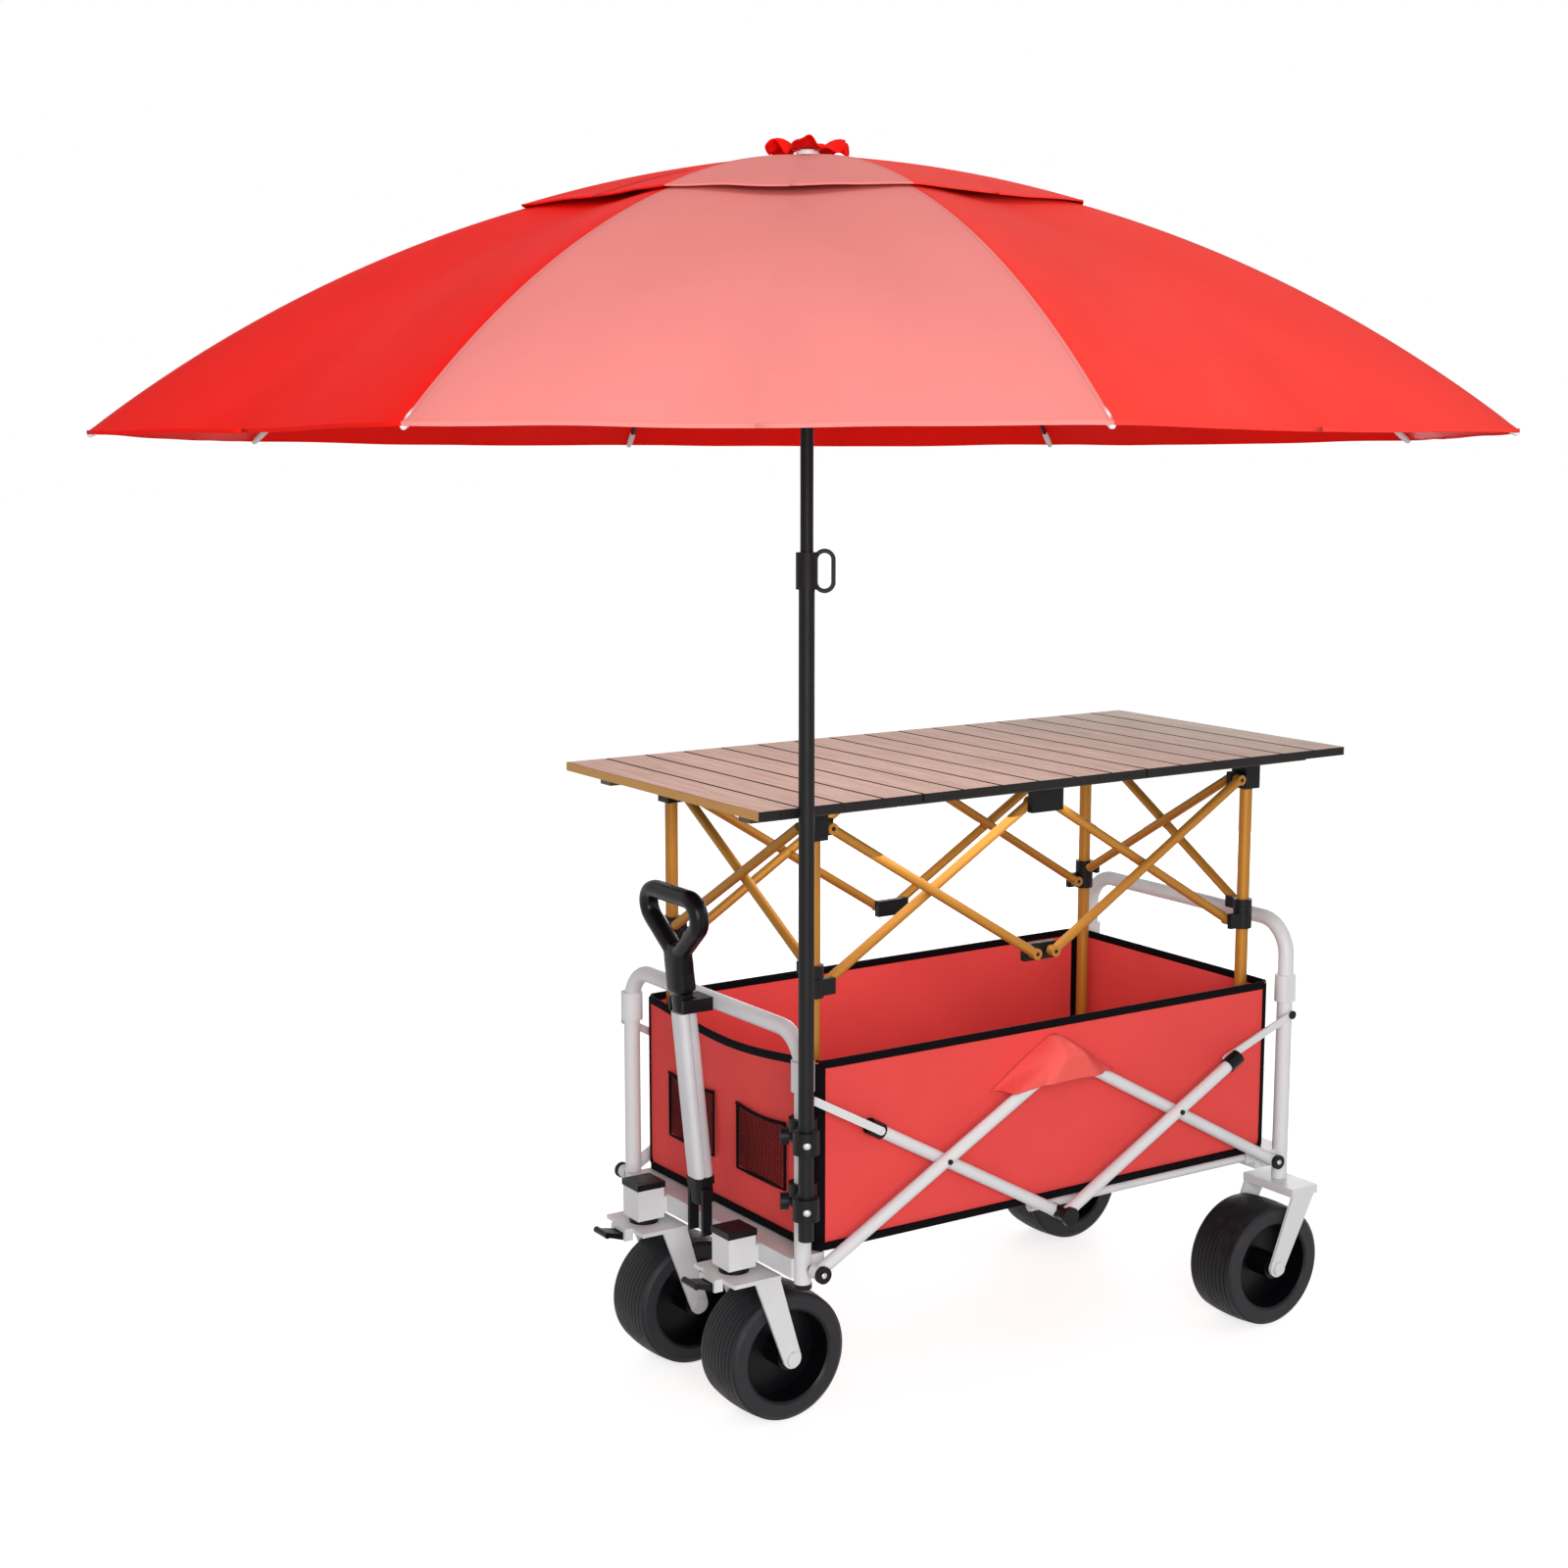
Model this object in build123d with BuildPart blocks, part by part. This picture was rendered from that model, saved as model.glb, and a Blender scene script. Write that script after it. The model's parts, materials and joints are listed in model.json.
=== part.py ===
from build123d import *
import os
from math import asin, atan2, cos, hypot, radians, sin, tan

os.makedirs("parts", exist_ok=True)

# All sizes are in millimetres. The floor is z = 0, the cart's length runs along X with the
# handle end at negative X, and "left" is the negative Y side, seen when facing the handle end.

# Fits between pieces
gap = 0.3            # bare gap between pieces that lie against each other
pin_play = 0.3       # radial play of a pin in its eye
slide_play = 0.35    # radial play of a tube that slides in another
side_gap = 1.0       # gap between links that swing past each other

# Wheels
wheel_radius = 100
wheel_width = 94
tyre_inner_radius = 73
rim_wall = 4
hub_radius = 20
web_thickness = 10
tread_grooves = 9
groove_depth = 1.6
groove_width = 2.2
tyre_wall = 7
axle_radius = 6
rear_axle_inset = 59      # from the rear posts forward to the rear axle
rear_wheel_out = 7        # from the posts out to the middle of a rear wheel

# Swivelling front casters
swivel_reach = 46         # from the front posts forward to the swivels
caster_trail = 66
caster_y = 130
stem_radius = 10
tyre_clearance = 26       # from the top of the tyre to the fork plate
fork_plate = 6
fork_gap = 4
fork_thickness = 5
fork_eye = 15
bolt_head_radius = 11
bolt_head = 5
socket_side = 46
seal_space = 8            # from the fork plate to the socket
socket_height = 48

# End frames of the cart
post_radius = 12.5
tube_wall = 1.5
front_post_gap = 24       # from the tub's end to the middle of the posts
rear_post_gap = 32
post_out = 2              # from the tub's side to the middle of the posts
front_bar_rise = 47       # above the tub's rim
rear_bar_rise = 95
bar_bend = 56
front_foot_drop = 8       # below the beam
sleeve_radius = 17
sleeve_height = 44
sleeve_drop = 35          # from the tub's rim down to the sleeve's lower end
beam_step = 6             # from the socket's lower end up to the beam
beam_space = 29           # from the beam's underside up to the tub
beam_front_reach = 16
beam_under_tub = 17
beam_inset = 5

# Cloth tub
tub_length = 884
tub_width = 478
tub_height = 282
cloth = 3
pocket_width = 128
pocket_height = 100
pocket_lift = 75          # above the tub's underside
pocket_y = 98
pocket_rise = 3
pocket_border = 7
net_columns = 13
net_rows = 11
net_strand = 2
net_depth = 1.2
flap_width = 236
flap_top_width = 70
flap_drop = 66
flap_clearance = 6        # outside the outer side links

# Folding side links of the cart
link_radius = 9.5
front_pivot_inset = 5     # behind the front posts
rear_pivot_inset = 28     # before the rear posts
pivot_drop = 13           # below the tub
mid_drop = 45             # from the tub's rim down to the upper middle joint
link_pin = 4
link_eye_inset = 0.5      # an eye is a little shorter than its tube is wide
collar_reach = 130        # from the crossing to the stay joint, along the link
collar_radius = 12
collar_length = 26
collar_clearance = 1.5    # from the tub's side
front_stay_inset = 2      # behind the front posts
front_stay_drop = 44      # below the tub's rim
rear_stay_drop = 55
stay_height = 12
stay_thickness = 4

# Floor rails under the tub
rail_radius = 8
rail_inset = 17           # inside the tub's sides
rail_pivot_inset = 60     # before the rear posts
rail_past_middle = 36
rail_drop = 0.7           # from the beam's top down to the eye
rail_eye = 8.8
rail_eye_half = 7

# Pull handle
handle_out = 20           # in front of the front posts
handle_lift = 31          # above the tub's underside
handle_lean = 6
handle_wide = 30
handle_deep = 22
handle_wall = 3
handle_length = 292
inner_start = 40
grip_stem = 90
grip_stem_radius = 15
grip_height = 101
grip_width = 146
grip_neck_width = 46
grip_bar = 22
grip_thickness = 28

# Slatted table top
top_length = 1120
top_width = 544
top_y = 2
top_rise = 377            # above the tub's rim
slat_count = 16
slats_front = 4
slats_middle = 6
slat_gap = 3
slat_thickness = 13
rail_height = 14
rail_width = 30
rail_setback = 26

# Folding table frame
leg_inset_x = 24          # inside the tub's ends
leg_inset_y = 43          # inside the tub's sides
leg_radius = 10
leg_wall = 1.2
upper_pin_drop = 21       # below the rails of the top
pin_spread = 230          # from the upper pins down to the lower ones
lug_reach = 24
mid_pin_half = 18
table_link_radius = 7.5
table_link_wall = 1
table_pin = 3
table_eye = 8.3
table_eye_half = 7
bracket_side = 30
bracket_height = 36
slider_radius = 15
slider_height = 28

# Umbrella
mast_out = 34             # from the left front post forward to the mast
mast_side_gap = 30        # from the table's long edge out to the mast
mast_drop = 137           # from the tub's rim down to the mast's zero
mast_lean = 2
lean_azimuth = 56.5
rib_azimuth = -15
lower_pole_radius = 11
upper_pole_radius = 9
pole_wall = 1.5
lower_pole_bottom = -88
lower_pole_top = 822
pole_collar_radius = 15
pole_collar_height = 50
pull_azimuth = -18
pull_width = 30
pull_height = 60
pull_band = 6
pull_sunk = 6
pull_thickness = 5
upper_pole_bottom = 470
crown_s = 1370
hub_pivot_radius = 20
rib_count = 8
rib_reach = 925
rib_drop = 352
rib_bow = 70
rib_radius = 3
stretcher_at = 330
stretcher_radius = 2.5
stretcher_clearance = 0.8
canopy_rise = 6.4
canopy_cloth = 1.2
canopy_hole = 100
vent_radius = 380
vent_rise = 9
clamp_upper_drop = 90     # below the tub's rim
clamp_lower_drop = 185
clamp_height = 32
clamp_wall = 8
clamp_fit = 0.1           # the clamps grip the post and the pole

# Heights that follow, stacked up from the floor
fork_plate_z = 2 * wheel_radius + tyre_clearance
rear_foot_z = fork_plate_z
socket_bottom = fork_plate_z + fork_plate + seal_space
socket_top = socket_bottom + socket_height
beam_bottom = socket_bottom + beam_step
front_foot_z = beam_bottom - front_foot_drop
tub_bottom = beam_bottom + beam_space
beam_top = tub_bottom - gap
rail_z = beam_top - rail_eye - rail_drop
tub_top = tub_bottom + tub_height
floor_top = tub_bottom + cloth + 1
pocket_z = tub_bottom + pocket_lift
handle_pivot_z = tub_bottom + handle_lift
front_bar_z = tub_top + front_bar_rise
rear_bar_z = tub_top + rear_bar_rise
sleeve_z = tub_top - sleeve_drop
pivot_z = tub_bottom - pivot_drop
mid_top_z = tub_top - mid_drop
cross_z = (pivot_z + mid_top_z) / 2
front_stay_z = tub_top - front_stay_drop
rear_stay_z = tub_top - rear_stay_drop
top_z = tub_top + top_rise
under_slats_z = top_z - slat_thickness
frame_top_z = under_slats_z - rail_height - gap
upper_pin_z = under_slats_z - rail_height - upper_pin_drop
lower_pin_z = upper_pin_z - pin_spread
mast_z = tub_top - mast_drop
clamp_upper_z = tub_top - clamp_upper_drop
clamp_lower_z = tub_top - clamp_lower_drop

# Places along the cart that follow from the tub
tub_half = tub_length / 2
front_post_x = -tub_half - front_post_gap
rear_post_x = tub_half + rear_post_gap
swivel_x = front_post_x - swivel_reach
caster_axle_x = swivel_x + caster_trail
rear_axle_x = rear_post_x - rear_axle_inset
front_pivot_x = front_post_x + front_pivot_inset
rear_pivot_x = rear_post_x - rear_pivot_inset
front_stay_x = front_post_x + front_stay_inset
rear_stay_x = rear_post_x
rail_pivot_x = rear_post_x - rail_pivot_inset
rail_reach = rail_pivot_x + rail_past_middle
handle_pivot_x = front_post_x - handle_out
mid_x = (front_pivot_x + rear_pivot_x) / 2
front_cross_x = (front_pivot_x + mid_x) / 2
rear_cross_x = (rear_pivot_x + mid_x) / 2
leg_x = tub_half - leg_inset_x
slat_pitch = top_length / slat_count
mast_x = front_post_x - mast_out

# Places across the cart that follow from the tub
tub_side = tub_width / 2
post_y = tub_side + post_out
beam_half = post_y - beam_inset
rear_wheel_y = post_y + rear_wheel_out
fork_plane = wheel_width / 2 + fork_gap + fork_thickness / 2
inner_plane = tub_side + collar_clearance + collar_radius
outer_plane = inner_plane + 2 * link_radius + side_gap
link_eye_half = link_radius - link_eye_inset
flap_out = outer_plane + link_radius + flap_clearance - tub_side
rail_y = tub_side - rail_inset
leg_y = tub_side - leg_inset_y
mast_y = top_y - top_width / 2 - mast_side_gap

# Side links and handle, worked out from those places
link_run = mid_x - front_pivot_x
link_rise = mid_top_z - pivot_z
link_length = hypot(link_run, link_rise)
link_dir = (link_run / link_length, link_rise / link_length)
stem_from = handle_length + 1
loop_from = stem_from + grip_stem
grip_top = loop_from + grip_height
stretcher_offset = rib_radius + stretcher_radius + stretcher_clearance

lean_dir = Vector(cos(radians(lean_azimuth)), sin(radians(lean_azimuth)), 0)
mast_dir = Vector(0, 0, cos(radians(mast_lean))) + lean_dir * sin(radians(mast_lean))
rib_ref = Vector(cos(radians(rib_azimuth)), sin(radians(rib_azimuth)), 0)
rib_ref = rib_ref - mast_dir * rib_ref.dot(mast_dir)
mast = Plane(origin=(mast_x, mast_y, mast_z), x_dir=rib_ref, z_dir=mast_dir)
handle = Plane(
    origin=(handle_pivot_x, 0, handle_pivot_z),
    x_dir=(0, 1, 0),
    z_dir=(-sin(radians(handle_lean)), 0, cos(radians(handle_lean))),
)


# Small builders that add to the part being built
def rod(start, end, radius, mode=Mode.ADD):
    run = Vector(*end) - Vector(*start)
    with Locations(Plane(origin=start, z_dir=run).location):
        Cylinder(radius, run.length, align=(Align.CENTER, Align.CENTER, Align.MIN), mode=mode)


def tube(start, end, radius, wall):
    run = (Vector(*end) - Vector(*start)).normalized() * (2 * wall)
    rod(start, end, radius)
    rod(Vector(*start) + run, Vector(*end) - run, radius - wall, Mode.SUBTRACT)


def across(x, y_from, y_to, z, radius, mode=Mode.ADD):
    rod((x, min(y_from, y_to), z), (x, max(y_from, y_to), z), radius, mode)


def block(x_range, y_range, z_range, mode=Mode.ADD):
    low = (min(x_range), min(y_range), min(z_range))
    size = [abs(r[1] - r[0]) for r in (x_range, y_range, z_range)]
    with Locations(low):
        Box(*size, align=(Align.MIN, Align.MIN, Align.MIN), mode=mode)


def slab(points, plane, thickness):
    with BuildSketch(plane) as outline:
        Polygon(*points, align=None)
    extrude(outline.sketch, amount=thickness / 2, both=True)


def plane_y(y):
    return Plane(origin=(0, y, 0), x_dir=(1, 0, 0), z_dir=(0, -1, 0))


def mast_point(radius, azimuth, along, tangential=0):
    a = radians(azimuth)
    local = (
        radius * cos(a) - tangential * sin(a),
        radius * sin(a) + tangential * cos(a),
        along,
    )
    return mast.from_local_coords(Vector(*local))


def end_frame(x, bar_z, foot_z):
    rise = bar_z - foot_z
    with BuildLine(Plane(origin=(x, 0, foot_z), x_dir=(0, 1, 0), z_dir=(1, 0, 0))) as path:
        FilletPolyline((-post_y, 0), (-post_y, rise), (post_y, rise), (post_y, 0), radius=bar_bend)
    with BuildSketch(Plane(origin=(x, -post_y, foot_z))) as ring:
        Circle(post_radius)
        Circle(post_radius - tube_wall, mode=Mode.SUBTRACT)
    sweep(ring.sketch, path=path.line)
    for side in (-1, 1):
        rod((x, side * post_y, sleeve_z), (x, side * post_y, sleeve_z + sleeve_height), sleeve_radius)


def fork_leg(y, top_x, axle_x, axle_z, top_z):
    lean = atan2(top_z - axle_z, top_x[0] - axle_x)
    shift_x = fork_eye * sin(lean)
    shift_z = fork_eye * cos(lean)
    back = atan2(top_z - axle_z, top_x[1] - axle_x)
    points = [
        (top_x[0], top_z),
        (top_x[1], top_z),
        (axle_x + fork_eye * sin(back), axle_z - fork_eye * cos(back)),
        (axle_x - shift_x, axle_z + shift_z),
    ]
    points = sorted(points, key=lambda p: atan2(p[1] - (top_z + axle_z) / 2, p[0] - (top_x[0] + axle_x) / 2))
    slab(points, plane_y(y), fork_thickness)
    across(axle_x, y - fork_thickness / 2, y + fork_thickness / 2, axle_z, fork_eye)


def wheel_profile(centre):
    half = wheel_width / 2
    crown = half - 4
    step = 2 * crown / (tread_grooves + 1)
    surface = lambda y: wheel_radius - 3 * (y / crown) ** 2
    points = [(tyre_inner_radius - rim_wall, -half + 3), (tyre_inner_radius, -half)]
    points += [(wheel_radius - 9, -half), (surface(-crown), -crown)]
    for i in range(1, tread_grooves + 1):
        y = -crown + i * step
        for dy, depth in ((-0.5, 0), (-0.3, 1), (0.3, 1), (0.5, 0)):
            at = y + dy * groove_width
            points.append((surface(at) - depth * groove_depth, at))
    points += [(surface(crown), crown), (wheel_radius - 9, half)]
    points += [(tyre_inner_radius, half), (tyre_inner_radius - rim_wall, half - 3)]
    with BuildSketch(Plane(origin=centre)) as section:
        Polygon(*points, align=None)
        with Locations(((hub_radius + axle_radius) / 2 + pin_play / 2, 0)):
            Rectangle(hub_radius - axle_radius - pin_play, wheel_width)
        with Locations(((hub_radius + tyre_inner_radius) / 2 - 2, 0)):
            Rectangle(tyre_inner_radius - hub_radius, web_thickness)
        with Locations(((tyre_inner_radius + wheel_radius) / 2 - 1, 0)):
            hollow = wheel_radius - tyre_inner_radius - 2 * tyre_wall
            Rectangle(hollow, wheel_width - 2 * tyre_wall, mode=Mode.SUBTRACT)
    revolve(section.sketch, axis=Axis(centre, (0, 1, 0)))


# Front end frame with the caster sockets
beam_front = (front_post_x - beam_front_reach, -tub_half + beam_under_tub)
with BuildPart() as front_frame:
    end_frame(front_post_x, front_bar_z, front_foot_z)
    block(beam_front, (-beam_half, beam_half), (beam_bottom, beam_top))
    for side in (-1, 1):
        y = side * caster_y
        half = socket_side / 2
        block((swivel_x - half, swivel_x + half), (y - half, y + half), (socket_bottom, socket_top))
        block((swivel_x, beam_front[0] + 1), (y - half + 4, y + half - 4), (beam_bottom, beam_top - 4))
        rod((swivel_x, y, socket_bottom), (swivel_x, y, socket_top - 6), stem_radius + pin_play, Mode.SUBTRACT)
    front_frame.part.label = "front_frame"
export_step(front_frame.part, "parts/front_frame.step")

# Black fittings of the front end: caps, seals, link bolts, handle yoke and handle catch
yoke_in = handle_wide / 2 + side_gap
catch_x = handle_pivot_x - (front_bar_z - handle_pivot_z) * tan(radians(handle_lean))
with BuildPart() as front_fittings:
    for side in (-1, 1):
        y = side * caster_y
        half = socket_side / 2 + 1.5
        block((swivel_x - half, swivel_x + half), (y - half, y + half), (socket_top + gap, socket_top + 10))
        rod((swivel_x, y, fork_plate_z + fork_plate + gap), (swivel_x, y, socket_bottom - gap), half - 2)
        rod((swivel_x, y, fork_plate_z), (swivel_x, y, socket_bottom), stem_radius + pin_play, Mode.SUBTRACT)
        foot = (front_post_x, side * post_y)
        rod((*foot, front_foot_z - 7), (*foot, front_foot_z - gap), post_radius + 1)
        bolt_from = side * (post_y + post_radius + gap)
        bolt_to = side * (outer_plane + link_radius + side_gap)
        across(front_pivot_x, bolt_from, bolt_to, pivot_z, link_pin + 1)
        across(front_pivot_x, bolt_to, bolt_to + side * 6, pivot_z, link_radius + 3)
        lug = (side * yoke_in, side * (yoke_in + 6))
        block((handle_pivot_x - 12, beam_front[0] - gap), lug, (beam_bottom + 2, handle_pivot_z + 14))
        block((catch_x - 12, front_post_x - post_radius - gap), lug, (front_bar_z - 10, front_bar_z + 10))
    block(
        (catch_x + handle_deep / 2 + 4, front_post_x - post_radius - gap),
        (-yoke_in, yoke_in),
        (front_bar_z - 10, front_bar_z + 10),
    )
    across(handle_pivot_x, -yoke_in, yoke_in, handle_pivot_z, link_pin)
    front_fittings.part.label = "front_fittings"
export_step(front_fittings.part, "parts/front_fittings.step")

# Cloth tub, open at the top, with two flat net pockets and the flaps over the link joints
with BuildPart() as tub:
    block((-tub_half, tub_half), (-tub_side, tub_side), (tub_bottom, tub_top))
    inner_x = tub_half - cloth
    inner_y = tub_side - cloth
    block((-inner_x, inner_x), (-inner_y, inner_y), (floor_top, tub_top), Mode.SUBTRACT)
    tub.part.label = "tub"
with BuildPart() as flaps:
    for side in (-1, 1):
        root_y = side * tub_side
        out_y = side * (tub_side + flap_out)
        roof_z = mid_top_z + link_radius + 11
        profile = [(root_y, tub_top - 3), (out_y, roof_z), (out_y, tub_top - flap_drop)]
        profile += [(out_y - side * 1.5, tub_top - flap_drop)]
        profile += [(out_y - side * 1.5, roof_z - 1.5), (root_y, tub_top - 5)]
        with BuildSketch(Plane(origin=(mid_x - flap_width / 2, 0, 0), x_dir=(0, 1, 0), z_dir=(1, 0, 0))) as bend:
            Polygon(*profile, align=None)
        extrude(bend.sketch, amount=flap_width)
    for side in (-1, 1):
        for end in (-1, 1):
            corner = [
                (mid_x + end * flap_top_width / 2, tub_top + 1),
                (mid_x + end * (flap_width / 2 + 1), tub_top + 1),
                (mid_x + end * (flap_width / 2 + 1), tub_top - flap_drop - 1),
                (mid_x + end * flap_width / 2, tub_top - flap_drop - 1),
            ]
            with BuildSketch(plane_y(side * (tub_side + flap_out / 2 + gap))) as waste:
                Polygon(*corner, align=None)
            extrude(waste.sketch, amount=flap_out / 2, both=True, mode=Mode.SUBTRACT)
with BuildPart() as pockets:
    for side in (-1, 1):
        y = side * pocket_y
        pocket = Plane(
            origin=(-tub_half, y, pocket_z + pocket_height / 2),
            x_dir=(0, -1, 0),
            z_dir=(-1, 0, 0),
        )
        net_width = pocket_width - 2 * pocket_border
        net_height = pocket_height - 2 * pocket_border
        with BuildSketch(pocket) as border:
            Rectangle(pocket_width, pocket_height)
            Rectangle(net_width, net_height, mode=Mode.SUBTRACT)
        extrude(border.sketch, amount=pocket_rise)
        with BuildSketch(pocket) as net:
            with GridLocations(net_width / net_columns, 0, net_columns - 1, 1):
                Rectangle(net_strand, net_height + 2)
            with GridLocations(0, net_height / net_rows, 1, net_rows - 1):
                Rectangle(net_width + 2, net_strand)
        extrude(net.sketch, amount=net_depth)
tub_cloths = Compound(label="tub", children=[tub.part, *flaps.part.solids(), *pockets.part.solids()])
export_step(tub_cloths, "parts/tub.step")

# Rear end frame with the fixed wheel forks
rear_beam = (tub_half - beam_under_tub, rear_post_x + beam_front_reach)
with BuildPart() as rear_frame:
    end_frame(rear_post_x, rear_bar_z, rear_foot_z)
    block(rear_beam, (-beam_half, beam_half), (beam_bottom, beam_top))
    for side in (-1, 1):
        y = side * rear_wheel_y
        half = fork_plane + fork_thickness / 2
        block((rear_post_x - 32, rear_post_x + 24), (y - half, y + half), (fork_plate_z - 14, fork_plate_z))
        for leg in (-1, 1):
            fork_leg(y + leg * fork_plane, (rear_post_x - 28, rear_post_x + 20), rear_axle_x, wheel_radius, fork_plate_z - 8)
        across(rear_axle_x, y - half - bolt_head, y + half + bolt_head, wheel_radius, axle_radius)
        across(rear_axle_x, y - half - bolt_head, y - half, wheel_radius, bolt_head_radius)
        across(rear_axle_x, y + half, y + half + bolt_head, wheel_radius, bolt_head_radius)
        stay_flat = side * (post_y + post_radius + side_gap - gap)
        block(
            (rear_post_x - sleeve_radius, rear_post_x + sleeve_radius),
            (stay_flat, stay_flat + side * sleeve_radius),
            (sleeve_z, sleeve_z + sleeve_height),
            Mode.SUBTRACT,
        )
        lug_y = side * (inner_plane - link_radius - gap)
        slab(
            [
                (rear_pivot_x - 10, beam_bottom + 4),
                (rear_post_x, beam_bottom + 4),
                (rear_post_x, beam_top),
                (rear_pivot_x - 10, beam_top),
            ],
            plane_y(lug_y - side * 3),
            6,
        )
        for cheek in (-1, 1):
            rail_cheek = side * rail_y + cheek * (rail_radius + side_gap)
            block(
                (rail_pivot_x - 7, rear_beam[0] + 1),
                (rail_cheek, rail_cheek + cheek * 3),
                (beam_top - 2 * rail_radius - 1, beam_top),
            )
        pin_half = rail_radius + side_gap
        across(rail_pivot_x, side * rail_y - pin_half, side * rail_y + pin_half, rail_z, link_pin)
    rear_frame.part.label = "rear_frame"
export_step(rear_frame.part, "parts/rear_frame.step")

# Black fittings of the rear end: post feet and link bolts
with BuildPart() as rear_fittings:
    for side in (-1, 1):
        bolt_from = side * (inner_plane - link_radius)
        bolt_to = side * (inner_plane + link_radius + side_gap)
        across(rear_pivot_x, bolt_from, bolt_to, pivot_z, link_pin + 1)
        across(rear_pivot_x, bolt_to, bolt_to + side * 6, pivot_z, link_radius + 2)
        stay_from = side * (post_y + post_radius + gap)
        stay_to = side * (post_y + post_radius + side_gap + stay_thickness + 0.5)
        across(rear_stay_x, stay_from, stay_to, rear_stay_z, link_pin)
        across(rear_stay_x, stay_to, stay_to + side * 2, rear_stay_z, link_pin + 3)
    rear_fittings.part.label = "rear_fittings"
export_step(rear_fittings.part, "parts/rear_fittings.step")

# Side links: the outer ones carry the pins, the inner ones have the eyes
with BuildPart() as link_front_rising:
    for side in (-1, 1):
        y = side * outer_plane
        tube((front_pivot_x, y, pivot_z), (mid_x, y, mid_top_z), link_radius, tube_wall)
        for x, z in ((front_pivot_x, pivot_z), (mid_x, mid_top_z)):
            across(x, y - link_eye_half, y + link_eye_half, z, link_radius + 1)
        across(front_pivot_x, y - 15, y + 15, pivot_z, link_pin + 1 + pin_play, Mode.SUBTRACT)
        for x, z in ((front_cross_x, cross_z), (mid_x, mid_top_z)):
            across(x, side * (inner_plane - link_radius + 2), y + side * (link_radius + 2), z, link_pin)
    link_front_rising.part.label = "link_front_rising"
export_step(link_front_rising.part, "parts/link_front_rising.step")

with BuildPart() as link_front_falling:
    for side in (-1, 1):
        y = side * inner_plane
        top_x = front_cross_x - collar_reach * link_dir[0]
        top_z_here = cross_z + collar_reach * link_dir[1]
        tube((top_x, y, top_z_here), (mid_x, y, pivot_z), link_radius, tube_wall)
        across(mid_x, y - link_eye_half, y + link_eye_half, pivot_z, link_radius + 1)
        half = Vector(link_dir[0], 0, -link_dir[1]) * (collar_length / 2)
        centre = Vector(top_x, y, top_z_here)
        rod(centre - half, centre + half, collar_radius)
        for x, z in ((front_cross_x, cross_z), (mid_x, pivot_z)):
            across(x, y - 15, y + 15, z, link_pin + pin_play, Mode.SUBTRACT)
    link_front_falling.part.label = "link_front_falling"
export_step(link_front_falling.part, "parts/link_front_falling.step")

with BuildPart() as link_rear_rising:
    for side in (-1, 1):
        y = side * outer_plane
        top_x = rear_cross_x + collar_reach * link_dir[0]
        top_z_here = cross_z + collar_reach * link_dir[1]
        tube((top_x, y, top_z_here), (mid_x, y, pivot_z), link_radius, tube_wall)
        across(mid_x, y - link_eye_half, y + link_eye_half, pivot_z, link_radius + 1)
        across(mid_x, y + side * (link_radius + gap), y + side * (link_radius + 7), pivot_z, link_radius + 5)
        half = Vector(link_dir[0], 0, link_dir[1]) * (collar_length / 2)
        centre = Vector(top_x, y, top_z_here)
        rod(centre - half, centre + half, collar_radius)
        for x, z in ((rear_cross_x, cross_z), (mid_x, pivot_z)):
            across(x, side * (inner_plane - link_radius + 2), y + side * (link_radius + 2), z, link_pin)
    link_rear_rising.part.label = "link_rear_rising"
export_step(link_rear_rising.part, "parts/link_rear_rising.step")

with BuildPart() as link_rear_falling:
    for side in (-1, 1):
        y = side * inner_plane
        tube((rear_pivot_x, y, pivot_z), (mid_x, y, mid_top_z), link_radius, tube_wall)
        for x, z in ((rear_pivot_x, pivot_z), (mid_x, mid_top_z)):
            across(x, y - link_eye_half, y + link_eye_half, z, link_radius + 1)
        across(rear_pivot_x, y - 15, y + 15, pivot_z, link_pin + 1 + pin_play, Mode.SUBTRACT)
        for x, z in ((rear_cross_x, cross_z), (mid_x, mid_top_z)):
            across(x, y - 15, y + 15, z, link_pin + pin_play, Mode.SUBTRACT)
    link_rear_falling.part.label = "link_rear_falling"
export_step(link_rear_falling.part, "parts/link_rear_falling.step")


# Thin stays from the posts to the upper ends of the crossing links
def stay(x_from, z_from, x_to, z_to, y, pin_side, pin_to):
    run = Vector(x_to - x_from, 0, z_to - z_from)
    across_run = Vector(-run.Z, 0, run.X).normalized() * (stay_height / 2)
    corners = [
        (x_from + across_run.X, z_from + across_run.Z),
        (x_from - across_run.X, z_from - across_run.Z),
        (x_to - across_run.X, z_to - across_run.Z),
        (x_to + across_run.X, z_to + across_run.Z),
    ]
    slab(corners, plane_y(y), stay_thickness)
    for x, z in ((x_from, z_from), (x_to, z_to)):
        across(x, y - stay_thickness / 2, y + stay_thickness / 2, z, stay_height / 2)
    across(x_to, y, pin_to, z_to, 3)


front_collar = (front_cross_x - collar_reach * link_dir[0], cross_z + collar_reach * link_dir[1])
rear_collar = (rear_cross_x + collar_reach * link_dir[0], front_collar[1])
front_stay_y = inner_plane + collar_radius + side_gap + stay_thickness / 2
rear_stay_y = post_y + post_radius + side_gap + stay_thickness / 2
with BuildPart() as stay_front:
    for side in (-1, 1):
        y = side * front_stay_y
        stay(front_stay_x, front_stay_z, *front_collar, y, side, y + side * 5)
        across(front_stay_x, side * (post_y + post_radius + gap), y + side * 4, front_stay_z, link_pin)
    stay_front.part.label = "stay_front"
export_step(stay_front.part, "parts/stay_front.step")

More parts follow.
